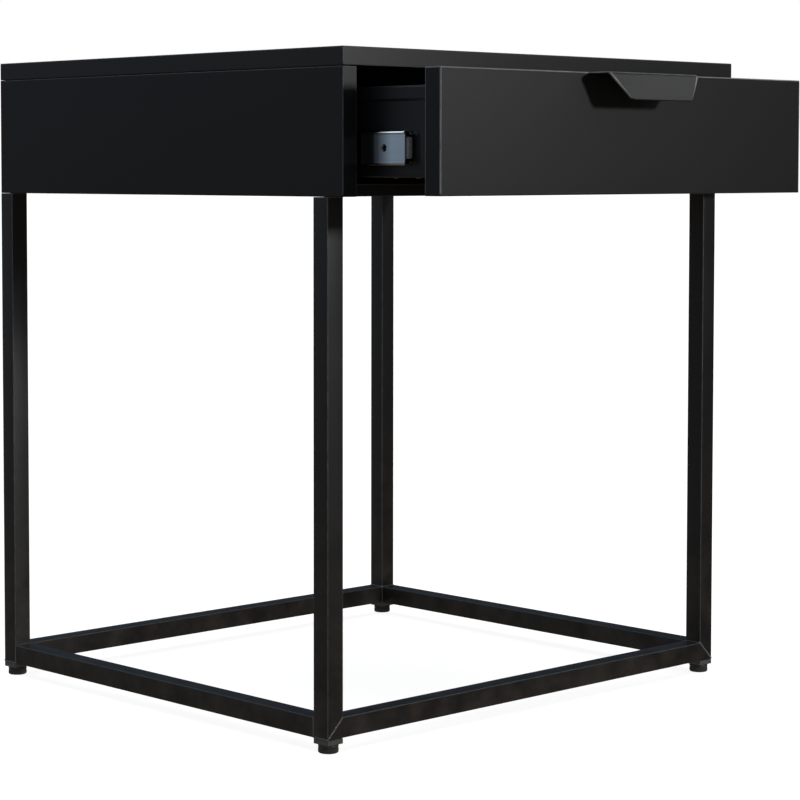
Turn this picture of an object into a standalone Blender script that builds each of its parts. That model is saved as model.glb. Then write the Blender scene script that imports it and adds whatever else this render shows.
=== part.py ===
"""Side table with one drawer: a black board box on a square-tube steel frame with levelling feet.

Frame: +X to the right, the drawer opens along -Y, +Z up, metres. The floor is z = 0 and the origin is at
the bottom centre of the whole table, with its drawer standing open by DRAWER_OPEN.
Distances "from the front" are measured along +Y from the front plane of the box.
"""

import math

import bmesh
import bpy
from mathutils import Matrix, Vector

# Overall sizes
TABLE_WIDTH = 0.577
TABLE_DEPTH = 0.544
BOX_HEIGHT = 0.140
LEG_LENGTH = 0.5135  # underside of the box to the end of the tube
GAP = 0.0003  # between pieces that touch

# Boards of the box
TOP_THICK = 0.018
SIDE_THICK = 0.018
BOTTOM_THICK = 0.012
BACK_THICK = 0.012
BOARD_EDGE = 0.0007  # softened board edges

# Square-tube frame
TUBE = 0.020
TUBE_WALL = 0.0015
TUBE_CORNER = 0.0006
TUBE_INNER_CORNER = 0.0004

# Leg fixings
INSERT_HEIGHT = 0.022
STUD_RADIUS = 0.004
STUD_IN_BOARD = 0.028
STUD_IN_LEG = 0.030
BORE_CLEARANCE = 0.0003

# Levelling feet
SEAT_THICK = 0.005
SEAT_EDGE = 0.0003  # softened seat edges
FOOT_RADIUS = 0.0099
FOOT_HEIGHT = 0.0082
STEM_RADIUS = 0.004
STEM_LENGTH = 0.024

# Drawer front
DRAWER_OPEN = 0.106  # how far the drawer stands open
FRONT_THICK = 0.020
FRONT_SIDE_GAP = 0.003
FRONT_TOP_GAP = 0.0035
FRONT_BOTTOM_RISE = 0.0013
FRONT_BACK_ROOM = 0.001  # between the shut front and what stands behind it
LEG_SETBACK = FRONT_THICK + FRONT_BACK_ROOM  # front legs and bottom board, behind the front plane

# Pressed-steel drawer tray
SHEET = 0.0015
TRAY_END_ROOM = 0.0567  # behind the shut tray
TRAY_TOP_ROOM = 0.0194  # between the tray's rim and the top board
TRAY_BOTTOM_ROOM = 0.0062  # between the bottom board and the tray
RIM_HEIGHT = 0.012
RIM_STEP = 0.0018
TRAY_FLANGE = 0.012
FRONT_FLANGE = 0.016
TRAY_FLOOR_THICK = 0.003
TRAY_LENGTH = TABLE_DEPTH - BACK_THICK - TRAY_END_ROOM - FRONT_THICK - GAP
TRAY_RISE = BOTTOM_THICK + TRAY_BOTTOM_ROOM  # from the underside of the box
TRAY_HEIGHT = BOX_HEIGHT - TOP_THICK - TRAY_TOP_ROOM - TRAY_RISE

# Telescopic slides
SLIDE_ROOM = 0.0127  # between the side board and the tray
SLIDE_END_ROOM = 0.060  # between the outer member and the back board
SLIDE_ON_TRAY = 0.0271  # from the tray's underside to the slide's middle line
SLIDE_WALL = 0.001
OUTER_HEIGHT = 0.038
OUTER_BALL_ROOM = 0.002  # for the balls between the outer and middle members
INNER_BALL_ROOM = 0.003  # for the balls between the middle and inner members
MIDDLE_SHARE = 0.78  # of the drawer's travel that the middle member makes
CAGE_WEB = 0.0006
OUTER_CAGE_LENGTH = 0.120
INNER_CAGE_LENGTH = 0.200
BEND = 0.0016
ACCESS_RADIUS = 0.0028
ACCESS_SETBACK = 0.0277  # access hole, behind the middle member's front end
SLIDE_SETBACK = LEG_SETBACK + FRONT_BACK_ROOM
SLIDE_LENGTH = TABLE_DEPTH - BACK_THICK - SLIDE_END_ROOM - SLIDE_SETBACK
INNER_SETBACK = 0.027  # front end of the inner member, behind the others' when the drawer is shut
INNER_LENGTH = SLIDE_LENGTH - INNER_SETBACK
MIDDLE_HEIGHT = OUTER_HEIGHT - 2 * (SLIDE_WALL + OUTER_BALL_ROOM)
INNER_HEIGHT = MIDDLE_HEIGHT - 2 * (SLIDE_WALL + INNER_BALL_ROOM)

# Screws
SCREW_SEGMENTS = 12
SLIDE_SCREW_RADIUS = 0.0018
SLIDE_SCREW_HEAD = 0.0033
OUTER_SCREW_LENGTH = 0.012
INNER_SCREW_LENGTH = 0.006
OUTER_SCREWS_AT = (0.040, SLIDE_LENGTH - 0.090)  # behind the outer member's front end
INNER_SCREWS_AT = (0.035, INNER_LENGTH - 0.098)  # behind the inner member's front end
FRONT_SCREW_RADIUS = 0.002
FRONT_SCREW_HEAD = 0.004
FRONT_SCREW_LENGTH = 0.014
FRONT_SCREW_INSET = 0.0135  # from either end of the front flange
FRONT_SCREWS_AT = (FRONT_SCREW_INSET, TRAY_HEIGHT - RIM_HEIGHT - FRONT_SCREW_INSET)
PULL_SCREW_RADIUS = 0.002
PULL_SCREW_HEAD = 0.0038
PULL_SCREW_LENGTH = 0.016
PULL_SCREW_SPACING = 0.080

# Edge pull
PULL_WIDTH = 0.130
PULL_TIP_WIDTH = 0.090
PULL_THICK = 0.002
PULL_SEAT_MARGIN = 0.004
PULL_SEAT = FRONT_THICK - PULL_SEAT_MARGIN  # the part of the plate that lies in the drawer front
PULL_OUT = 0.026  # from the drawer front to the fold
LIP_LEAN = 0.011
LIP_DROP = 0.0255
LIP_CORNER = 0.005
PULL_BEND = 0.0025

# Levels
TUBE_END = FOOT_HEIGHT + GAP + SEAT_THICK + GAP
UNDERSIDE = TUBE_END + LEG_LENGTH + GAP
TABLE_TOP = UNDERSIDE + BOX_HEIGHT
SHELF_LEVEL = TABLE_TOP - TOP_THICK  # underside of the top board
TRAY_LEVEL = UNDERSIDE + TRAY_RISE
SLIDE_LEVEL = TRAY_LEVEL + SLIDE_ON_TRAY
FRONT_TOP = SHELF_LEVEL - FRONT_TOP_GAP

# Plan
HALF_WIDTH = TABLE_WIDTH / 2
FRONT = -(TABLE_DEPTH - DRAWER_OPEN - PULL_OUT - LIP_LEAN) / 2
BACK = FRONT + TABLE_DEPTH
INSIDE = HALF_WIDTH - SIDE_THICK  # half the room between the side boards
TRAY_HALF = INSIDE - SLIDE_ROOM - GAP  # half the tray's width, without its rim
LEG_X = HALF_WIDTH - TUBE / 2
LEG_Y = {"front": FRONT + LEG_SETBACK + TUBE / 2, "back": BACK - TUBE / 2}
DRAWER_FACE = FRONT - DRAWER_OPEN
TRAY_START = DRAWER_FACE + FRONT_THICK + GAP
SIDES = {"left": -1, "right": 1}


def clear_scene():
    for old in list(bpy.data.objects):
        bpy.data.objects.remove(old, do_unlink=True)


def finish(name, colour, roughness, metallic):
    """A plain Principled finish, shared by every piece that names it."""
    mat = bpy.data.materials.new(name)
    mat.use_nodes = True
    shader = mat.node_tree.nodes["Principled BSDF"]
    shader.inputs["Base Color"].default_value = (*colour, 1.0)
    shader.inputs["Roughness"].default_value = roughness
    shader.inputs["Metallic"].default_value = metallic
    mat.diffuse_color = (*colour, 1.0)
    return mat


def finishes():
    return {
        "board": finish("black_lacquered_board", (0.012, 0.013, 0.015), 0.34, 0.0),
        "frame": finish("black_powder_coat", (0.014, 0.014, 0.015), 0.42, 0.0),
        "tray": finish("blue_black_sheet", (0.010, 0.013, 0.016), 0.38, 0.3),
        "front": finish("black_drawer_front", (0.020, 0.020, 0.021), 0.36, 0.0),
        "zinc": finish("zinc_plated_steel", (0.42, 0.46, 0.50), 0.30, 1.0),
        "pull": finish("black_folded_steel", (0.030, 0.031, 0.033), 0.35, 0.4),
        "foot": finish("black_plastic", (0.018, 0.018, 0.019), 0.55, 0.0),
    }


def group(name, location):
    """An empty that carries the pieces of one moving body."""
    empty = bpy.data.objects.new(name, None)
    empty.empty_display_size = 0.03
    empty.location = location
    bpy.context.scene.collection.objects.link(empty)
    return empty


def add_object(name, bm, mat, location, parent=None, turn=None, smooth=False):
    """Turn a bmesh into a placed object. location is in the table's frame, also under a parent."""
    bmesh.ops.recalc_face_normals(bm, faces=bm.faces)
    mesh = bpy.data.meshes.new(name)
    bm.to_mesh(mesh)
    bm.free()
    if smooth:
        mesh.shade_smooth()
        mesh.set_sharp_from_angle(angle=math.radians(35))
    obj = bpy.data.objects.new(name, mesh)
    bpy.context.scene.collection.objects.link(obj)
    if mat:
        mesh.materials.append(mat)
    obj.location = Vector(location)
    if parent:
        obj.parent = parent
        obj.location -= parent.location
    if turn:
        obj.rotation_euler = turn
    return obj


def soften(obj, width, segments=1):
    bevel = obj.modifiers.new("soft_edges", "BEVEL")
    bevel.width = width
    bevel.segments = segments
    bevel.limit_method = "ANGLE"
    bevel.angle_limit = math.radians(40)


def block(low, high):
    """A bmesh box about its own middle, and that middle."""
    low, high = Vector(low), Vector(high)
    bm = bmesh.new()
    bmesh.ops.create_cube(bm, size=1.0)
    bmesh.ops.scale(bm, vec=high - low, verts=bm.verts)
    return bm, (low + high) / 2


def board(name, low, high, mat, parent=None, edge=BOARD_EDGE):
    """A rectangular piece between two corners, with softened edges."""
    bm, middle = block(low, high)
    obj = add_object(name, bm, mat, middle, parent)
    if edge:
        soften(obj, edge)
    return obj


def turned_mesh(profile, segments):
    """Revolve (radius, height) points about local Z. The first and last points lie on the axis."""
    bm = bmesh.new()
    rings = []
    for radius, height in profile:
        if radius == 0:
            rings.append([bm.verts.new((0, 0, height))])
            continue
        angles = [2 * math.pi * step / segments for step in range(segments)]
        rings.append([bm.verts.new((radius * math.cos(a), radius * math.sin(a), height)) for a in angles])
    for upper, lower in zip(rings, rings[1:]):
        for step in range(segments):
            following = (step + 1) % segments
            corners = [upper[step % len(upper)], upper[following % len(upper)]]
            corners += [lower[following % len(lower)], lower[step % len(lower)]]
            bm.faces.new(list(dict.fromkeys(corners)))
    return bm


def cut(target, cutter):
    """Take a hidden cutter out of an object."""
    cutter.hide_render = True
    cutter.display_type = "WIRE"
    boolean = target.modifiers.new("cut_" + cutter.name[:40], "BOOLEAN")
    boolean.operation = "DIFFERENCE"
    boolean.solver = "EXACT"
    boolean.object = cutter


def join(target, helper):
    """Add a hidden helper solid to an object."""
    helper.hide_render = True
    helper.display_type = "WIRE"
    boolean = target.modifiers.new("join_" + helper.name[:40], "BOOLEAN")
    boolean.operation = "UNION"
    boolean.solver = "EXACT"
    boolean.object = helper


def bore(target, name, start, direction, length, radius, parent=None):
    """Drill a round hole from start along direction."""
    profile = [(0, length), (radius, length), (radius, 0), (0, 0)]
    turn = Vector((0, 0, 1)).rotation_difference(Vector(direction)).to_euler()
    cutter = add_object(name, turned_mesh(profile, 16), None, start, parent, turn)
    cut(target, cutter)


def rounded_square(size, corner, steps=3):
    """Points of a square outline about the origin, counter-clockwise, with round corners."""
    reach = size / 2 - corner
    points = []
    for quarter in range(4):
        middle = math.pi / 4 + quarter * math.pi / 2
        centre = (math.copysign(reach, math.cos(middle)), math.copysign(reach, math.sin(middle)))
        for step in range(steps + 1):
            angle = quarter * math.pi / 2 + step * math.pi / 2 / steps
            points.append((centre[0] + corner * math.cos(angle), centre[1] + corner * math.sin(angle)))
    return points


def tube(name, length, mat, location, turn, start_mitre=False, end_mitre=False):
    """A square tube along local Z with open ends. A mitred end is cut at 45 degrees, long side at local -X."""
    bm = bmesh.new()
    outer = rounded_square(TUBE, TUBE_CORNER)
    inner = rounded_square(TUBE - 2 * TUBE_WALL, TUBE_INNER_CORNER)
    loops = []
    for outline, at_end in ((outer, False), (outer, True), (inner, True), (inner, False)):
        ring = []
        for x, y in outline:
            slant = x + TUBE / 2
            height = length - slant * end_mitre if at_end else slant * start_mitre
            ring.append(bm.verts.new((x, y, height)))
        loops.append(ring)
    for ring, following in zip(loops, loops[1:] + loops[:1]):
        for step in range(len(ring)):
            after = (step + 1) % len(ring)
            bm.faces.new((ring[step], ring[after], following[after], following[step]))
    return add_object(name, bm, mat, location, turn=turn, smooth=True)


def extruded(name, outline, start, length, mat, parent=None, edge=0):
    """Push an (x, z) outline, given in the table's frame, along +Y."""
    bm = bmesh.new()
    near = [bm.verts.new((x, 0, z)) for x, z in outline]
    far = [bm.verts.new((x, length, z)) for x, z in outline]
    bm.faces.new(near)
    bm.faces.new(far)
    for step in range(len(near)):
        after = (step + 1) % len(near)
        bm.faces.new((near[step], near[after], far[after], far[step]))
    middle = Vector((0, length / 2, 0))
    centre_x = sum(x for x, z in outline) / len(outline)
    centre_z = sum(z for x, z in outline) / len(outline)
    middle += Vector((centre_x, 0, centre_z))
    bmesh.ops.translate(bm, vec=-middle, verts=bm.verts)
    obj = add_object(name, bm, mat, middle + Vector((0, start, 0)), parent, smooth=True)
    if edge:
        soften(obj, edge)
    return obj


def build_box(mats):
    """The box: top, two sides, bottom and back."""
    boards = {
        "top_panel": board(
            "top_panel", (-HALF_WIDTH, FRONT, SHELF_LEVEL), (HALF_WIDTH, BACK, TABLE_TOP), mats["board"]
        ),
        "bottom_panel": board(
            "bottom_panel",
            (-INSIDE + GAP, FRONT + LEG_SETBACK, UNDERSIDE),
            (INSIDE - GAP, BACK - BACK_THICK - GAP, UNDERSIDE + BOTTOM_THICK),
            mats["board"],
        ),
        "back_panel": board(
            "back_panel",
            (-INSIDE + GAP, BACK - BACK_THICK, UNDERSIDE),
            (INSIDE - GAP, BACK, SHELF_LEVEL - GAP),
            mats["board"],
        ),
    }
    for side, sign in SIDES.items():
        edges = sorted((sign * INSIDE, sign * HALF_WIDTH))
        boards[side] = board(
            f"side_panel_{side}",
            (edges[0], FRONT, UNDERSIDE),
            (edges[1], BACK, SHELF_LEVEL - GAP),
            mats["board"],
        )
    return boards


def build_frame(mats):
    """Front and back frames, mitred at their lower corners, joined by two side rails."""
    rails = {}
    upright = {"left": (0, 0, 0), "right": (0, 0, math.pi)}
    # Local Z runs along +X and local -X points down.
    lying = Matrix(((0, 0, 1), (0, -1, 0), (1, 0, 0))).to_euler()
    # Local Z runs along +Y.
    fore_and_aft = (-math.pi / 2, 0, 0)
    for end, y in LEG_Y.items():
        for side, sign in SIDES.items():
            tube(
                f"leg_{end}_{side}",
                LEG_LENGTH - GAP,
                mats["frame"],
                (sign * LEG_X, y, TUBE_END + GAP),
                upright[side],
                start_mitre=True,
            )
        start = (-HALF_WIDTH + GAP, y, TUBE_END + TUBE / 2)
        rails[end] = tube(
            f"rail_{end}",
            TABLE_WIDTH - 2 * GAP,
            mats["frame"],
            start,
            lying,
            start_mitre=True,
            end_mitre=True,
        )
    rail_start = LEG_Y["front"] + TUBE / 2 + GAP
    rail_end = LEG_Y["back"] - TUBE / 2 - GAP
    for side, sign in SIDES.items():
        tube(
            f"rail_{side}",
            rail_end - rail_start,
            mats["frame"],
            (sign * LEG_X, rail_start, TUBE_END + TUBE / 2),
            fore_and_aft,
        )
    return rails


def build_leg_fixings(boards, mats):
    """A drilled plug in the top of each leg, and a stud from it up into the side board."""
    top = UNDERSIDE - GAP
    room = TUBE / 2 - TUBE_WALL - GAP
    for end, y in LEG_Y.items():
        for side, sign in SIDES.items():
            x = sign * LEG_X
            plug = board(
                f"leg_plug_{end}_{side}",
                (x - room, y - room, top - INSERT_HEIGHT),
                (x + room, y + room, top),
                mats["zinc"],
            )
            foot = (x, y, top - STUD_IN_LEG)
            length = STUD_IN_LEG + STUD_IN_BOARD
            profile = [(0, length), (STUD_RADIUS, length), (STUD_RADIUS, 0), (0, 0)]
            stud = turned_mesh(profile, SCREW_SEGMENTS)
            add_object(f"leg_stud_{end}_{side}", stud, mats["zinc"], foot, smooth=True)
            hole = STUD_RADIUS + BORE_CLEARANCE
            start = (x, y, top - STUD_IN_LEG)
            bore(plug, f"plug_bore_{end}_{side}", start, (0, 0, 1), length, hole)
            start = (x, y, UNDERSIDE - STUD_IN_BOARD)
            reach = 2 * STUD_IN_BOARD + BORE_CLEARANCE
            bore(boards[side], f"board_bore_{end}_{side}", start, (0, 0, 1), reach, hole)


def build_feet(rails, mats):
    """A seat plate under each frame corner, and a levelling foot screwed up through it."""
    pad = [(0, STEM_LENGTH + FOOT_HEIGHT), (STEM_RADIUS, STEM_LENGTH + FOOT_HEIGHT)]
    pad += [(STEM_RADIUS, FOOT_HEIGHT), (FOOT_RADIUS - 0.0008, FOOT_HEIGHT)]
    pad += [(FOOT_RADIUS, FOOT_HEIGHT - 0.0008), (FOOT_RADIUS, 0.0006), (FOOT_RADIUS - 0.0006, 0), (0, 0)]
    for end, y in LEG_Y.items():
        for side, sign in SIDES.items():
            x = sign * LEG_X
            low = (x - TUBE / 2, y - TUBE / 2, FOOT_HEIGHT + GAP)
            high = (x + TUBE / 2, y + TUBE / 2, TUBE_END - GAP)
            seat = board(f"foot_seat_{end}_{side}", low, high, mats["frame"], edge=SEAT_EDGE)
            add_object(
                f"levelling_foot_{end}_{side}", turned_mesh(pad, 24), mats["foot"], (x, y, 0), smooth=True
            )
            hole = STEM_RADIUS + BORE_CLEARANCE
            bore(seat, f"seat_bore_{end}_{side}", (x, y, 0), (0, 0, 1), TUBE_END, hole)
            reach = TUBE_END + TUBE / 2
            bore(rails[end], f"rail_bore_{end}_{side}", (x, y, 0), (0, 0, 1), reach, hole)


def channel(web, tip, height, level, bend=BEND, wall=SLIDE_WALL):
    """(x, z) outline of a C-shaped section: its web's outer face is at x = web, its flanges end at x = tip."""
    way = math.copysign(1, tip - web)
    half = height / 2
    corner = []
    for step in range(4):
        angle = step * math.pi / 6
        corner.append((web + way * bend * (1 - math.cos(angle)), half - bend * (1 - math.sin(angle))))
    upper = [(web + way * wall, half - wall), (tip, half - wall), (tip, half)]
    outline = upper + corner[::-1]
    mirrored = [(x, -z) for x, z in outline[::-1]]
    return [(x, level + z) for x, z in outline + mirrored]


def screw_profile(radius, head, length, countersunk):
    """Profile of a screw whose bearing face is at height 0 and whose socket is a round pit."""
    pit, pit_depth = head * 0.45, head * 0.3
    if countersunk:
        rim, sink = 0.0, head - radius
    else:
        rim, sink = head * 0.55, 0.0
    profile = [(0, rim - pit_depth), (pit, rim - pit_depth), (pit, rim), (head * 0.8, rim)]
    if countersunk:
        profile += [(head, 0), (radius, -sink)]
    else:
        profile += [(head, rim * 0.5), (head, 0), (radius, 0)]
    return profile + [(radius, radius - length), (0, -length)]


def screw(name, radius, head, length, seat, direction, mat, parent=None, countersunk=True):
    """A screw whose head faces direction, with its bearing plane at seat."""
    turn = Vector((0, 0, 1)).rotation_difference(Vector(direction)).to_euler()
    bm = turned_mesh(screw_profile(radius, head, length, countersunk), SCREW_SEGMENTS)
    return add_object(name, bm, mat, seat, parent, turn, smooth=True)


def screw_hole(targets, name, radius, head, length, seat, direction, parent=None, countersunk=True):
    """The hole for such a screw, cut with clearance out of each target."""
    clear = BORE_CLEARANCE
    above = 0.004
    profile = [(0, above)]
    if countersunk:
        profile += [(head + clear, above), (head + clear, 0), (radius + clear, radius - head)]
    else:
        profile += [(radius + clear, above)]
    profile += [(radius + clear, -length - clear), (0, -length - clear)]
    turn = Vector((0, 0, 1)).rotation_difference(Vector(direction)).to_euler()
    cutter = add_object(name, turned_mesh(profile, SCREW_SEGMENTS), None, seat, parent, turn)
    for target in targets:
        cut(target, cutter)


def build_slides(boards, mats, drawer, middles, cages):
    """Both telescopic slides. Yields each inner member with its front end and its web's place."""
    start = FRONT + SLIDE_SETBACK
    for side, sign in SIDES.items():
        wall = INSIDE  # inner face of the side board, measured outwards
        outer_web = wall - GAP
        cage_web = outer_web - SLIDE_WALL - GAP
        middle_web = cage_web - CAGE_WEB - GAP
        inner_cage_web = middle_web - SLIDE_WALL - GAP
        inner_tip = inner_cage_web - CAGE_WEB - GAP
        inner_web = TRAY_HALF + GAP
        middle_tip = inner_web + SLIDE_WALL / 2
        outer_tip = middle_tip + 0.0018
        outer_flange = OUTER_HEIGHT - 2 * SLIDE_WALL
        middle_flange = MIDDLE_HEIGHT - 2 * SLIDE_WALL

        outline = channel(sign * outer_web, sign * outer_tip, OUTER_HEIGHT, SLIDE_LEVEL)
        outer = extruded(f"slide_outer_{side}", outline, start, SLIDE_LENGTH, mats["zinc"])

        outline = channel(sign * middle_web, sign * middle_tip, MIDDLE_HEIGHT, SLIDE_LEVEL)
        middle_start = start - MIDDLE_SHARE * DRAWER_OPEN
        middle = extruded(
            f"slide_middle_{side}", outline, middle_start, SLIDE_LENGTH, mats["zinc"], middles[side]
        )

        outline = channel(sign * inner_web, sign * inner_tip, INNER_HEIGHT, SLIDE_LEVEL)
        inner_start = start + INNER_SETBACK - DRAWER_OPEN
        inner = extruded(f"slide_inner_{side}", outline, inner_start, INNER_LENGTH, mats["zinc"], drawer)

        # Each cage lies between two members, and its arms fill the room that the balls run in.
        cage_height = outer_flange - 2 * GAP
        arm = (cage_height - MIDDLE_HEIGHT) / 2 - GAP
        centre = start + SLIDE_LENGTH / 2 - DRAWER_OPEN * MIDDLE_SHARE / 2
        outline = cage_outline(sign * cage_web, sign * (outer_tip + 0.0006), cage_height, arm)
        extruded(
            f"ball_cage_outer_{side}",
            outline,
            centre - OUTER_CAGE_LENGTH / 2,
            OUTER_CAGE_LENGTH,
            mats["foot"],
            cages["outer", side],
        )
        cage_height = middle_flange - 2 * GAP
        arm = (cage_height - INNER_HEIGHT) / 2 - GAP
        centre = start + SLIDE_LENGTH / 2 - DRAWER_OPEN * (1 + MIDDLE_SHARE) / 2
        outline = cage_outline(sign * inner_cage_web, sign * (middle_tip + 0.0006), cage_height, arm)
        extruded(
            f"ball_cage_inner_{side}",
            outline,
            centre - INNER_CAGE_LENGTH / 2,
            INNER_CAGE_LENGTH,
            mats["foot"],
            cages["inner", side],
        )

        along = middle_start + ACCESS_SETBACK
        for hole, y in enumerate((along, along + SLIDE_LENGTH / 2)):
            place = (sign * (middle_web + SLIDE_WALL), y, SLIDE_LEVEL)
            bore(
                middle,
                f"access_{side}_{hole}",
                place,
                (-sign, 0, 0),
                3 * SLIDE_WALL,
                ACCESS_RADIUS,
                middles[side],
            )

        for number, along in enumerate(OUTER_SCREWS_AT):
            seat = (sign * (outer_web - SLIDE_WALL), start + along, SLIDE_LEVEL)
            size = (SLIDE_SCREW_RADIUS, SLIDE_SCREW_HEAD, OUTER_SCREW_LENGTH)
            screw(f"outer_screw_{side}_{number + 1}", *size, seat, (-sign, 0, 0), mats["zinc"])
            screw_hole((outer, boards[side]), f"outer_hole_{side}_{number}", *size, seat, (-sign, 0, 0))
        yield side, sign, inner, inner_start, inner_web


def cage_outline(web, tip, height, arm):
    """(x, z) outline of a ball cage: a thin web with two thick arms."""
    way = math.copysign(1, tip - web)
    half = height / 2
    upper = [(web + way * CAGE_WEB, half - arm), (tip, half - arm), (tip, half), (web, half)]
    mirrored = [(x, -z) for x, z in upper[::-1]]
    return [(x, SLIDE_LEVEL + z) for x, z in upper + mirrored]


def build_tray(mats, drawer):
    """The pressed-steel drawer tray: two sides with a stepped rim, a back and a floor."""
    top = TRAY_LEVEL + TRAY_HEIGHT
    sides = {}
    for side, sign in SIDES.items():
        face = TRAY_HALF
        section = [(face, TRAY_LEVEL), (face - TRAY_FLANGE, TRAY_LEVEL)]
        section += [(face - TRAY_FLANGE, TRAY_LEVEL + SHEET), (face - SHEET, TRAY_LEVEL + SHEET)]
        section += [(face - SHEET, top), (face + RIM_STEP, top)]
        section += [(face + RIM_STEP, top - RIM_HEIGHT), (face, top - RIM_HEIGHT - RIM_STEP)]
        outline = [(sign * x, z) for x, z in section]
        tray_side = extruded(
            f"drawer_side_{side}", outline, TRAY_START, TRAY_LENGTH, mats["tray"], drawer, edge=0.0003
        )
        inner_x, outer_x = sign * (face - FRONT_FLANGE), sign * (face - SHEET / 2)
        low_x, high_x = sorted((inner_x, outer_x))
        flange = board(
            f"front_flange_{side}",
            (low_x, TRAY_START + SHEET / 10, TRAY_LEVEL + SHEET / 2),
            (high_x, TRAY_START + SHEET, top - RIM_HEIGHT),
            None,
            drawer,
            edge=0,
        )
        join(tray_side, flange)
        sides[side] = tray_side
    inside = TRAY_HALF - SHEET - GAP
    floor = TRAY_LEVEL + SHEET + GAP
    tray_end = TRAY_START + TRAY_LENGTH
    board(
        "drawer_floor",
        (-inside, TRAY_START + SHEET + GAP, floor),
        (inside, tray_end, floor + TRAY_FLOOR_THICK),
        mats["tray"],
        drawer,
        edge=0,
    )
    board(
        "drawer_back",
        (-inside, tray_end - SHEET, floor + TRAY_FLOOR_THICK + GAP),
        (inside, tray_end, top),
        mats["tray"],
        drawer,
        edge=0.0003,
    )
    return sides


def build_front(mats, drawer, tray_sides):
    """The drawer front, fixed to the tray by four screws from inside."""
    half = INSIDE - FRONT_SIDE_GAP
    bottom = UNDERSIDE + FRONT_BOTTOM_RISE
    front = board(
        "drawer_front",
        (-half, DRAWER_FACE, bottom),
        (half, DRAWER_FACE + FRONT_THICK, FRONT_TOP),
        mats["front"],
        drawer,
    )
    seat_half = PULL_WIDTH / 2 + GAP
    recess = board(
        "pull_recess",
        (-seat_half, DRAWER_FACE - 0.01, FRONT_TOP - PULL_THICK - GAP),
        (seat_half, DRAWER_FACE + PULL_SEAT, FRONT_TOP + 0.01),
        None,
        drawer,
        edge=0,
    )
    cut(front, recess)
    size = (FRONT_SCREW_RADIUS, FRONT_SCREW_HEAD, FRONT_SCREW_LENGTH)
    for side, sign in SIDES.items():
        x = sign * (TRAY_HALF - FRONT_FLANGE / 2 - SHEET / 2)
        for number, rise in enumerate(FRONT_SCREWS_AT):
            seat = (x, TRAY_START + SHEET + GAP, TRAY_LEVEL + rise)
            name = f"{side}_{number + 1}"
            screw(f"front_screw_{name}", *size, seat, (0, 1, 0), mats["zinc"], drawer, countersunk=False)
            targets = (front, tray_sides[side])
            screw_hole(targets, f"front_hole_{name}", *size, seat, (0, 1, 0), drawer, countersunk=False)
    return front


def pull_path():
    """Stations down the pull, back to tip: (y, z, angle of travel, half width). Angles turn down from -Y."""
    turn = math.atan2(LIP_DROP, LIP_LEAN)
    tangent = (PULL_BEND + PULL_THICK) * math.tan(turn / 2)
    fold = (DRAWER_FACE - PULL_OUT, FRONT_TOP)
    lip = math.hypot(LIP_DROP, LIP_LEAN)
    stations = [(DRAWER_FACE + PULL_SEAT - GAP, FRONT_TOP, 0.0, PULL_WIDTH / 2)]
    radius = PULL_BEND + PULL_THICK
    for step in range(6):
        angle = turn * step / 5
        y = fold[0] + tangent - radius * math.sin(angle)
        z = fold[1] - radius * (1 - math.cos(angle))
        stations.append((y, z, angle, PULL_WIDTH / 2))
    narrowing = (PULL_WIDTH - PULL_TIP_WIDTH) / 2
    for step in range(7):
        angle = step * math.pi / 12
        run = lip - LIP_CORNER * (1 - math.sin(angle))
        half = PULL_WIDTH / 2 - narrowing * run / lip - LIP_CORNER * (1 - math.cos(angle))
        y, z = fold[0] - run * math.cos(turn), fold[1] - run * math.sin(turn)
        stations.append((y, z, turn, half))
    return stations


def build_pull(mats, drawer, front):
    """A folded sheet pull let into the top edge of the drawer front."""
    bm = bmesh.new()
    rings = []
    for y, z, angle, half in pull_path():
        below = (y + PULL_THICK * math.sin(angle), z - PULL_THICK * math.cos(angle))
        corners = ((-half, y, z), (half, y, z), (half, *below), (-half, *below))
        rings.append([bm.verts.new(corner) for corner in corners])
    for ring, following in zip(rings, rings[1:]):
        for step in range(4):
            after = (step + 1) % 4
            bm.faces.new((ring[step], ring[after], following[after], following[step]))
    bm.faces.new(rings[0])
    bm.faces.new(rings[-1])
    seat = Vector((0, DRAWER_FACE, FRONT_TOP))
    bmesh.ops.translate(bm, vec=-seat, verts=bm.verts)
    pull = add_object("drawer_pull", bm, mats["pull"], seat, drawer, smooth=True)
    size = (PULL_SCREW_RADIUS, PULL_SCREW_HEAD, PULL_SCREW_LENGTH)
    for side, sign in SIDES.items():
        place = (sign * PULL_SCREW_SPACING / 2, DRAWER_FACE + PULL_SEAT / 2, FRONT_TOP)
        screw(f"pull_screw_{side}", *size, place, (0, 0, 1), mats["zinc"], drawer)
        screw_hole((pull, front), f"pull_hole_{side}", *size, place, (0, 0, 1), drawer)


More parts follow.
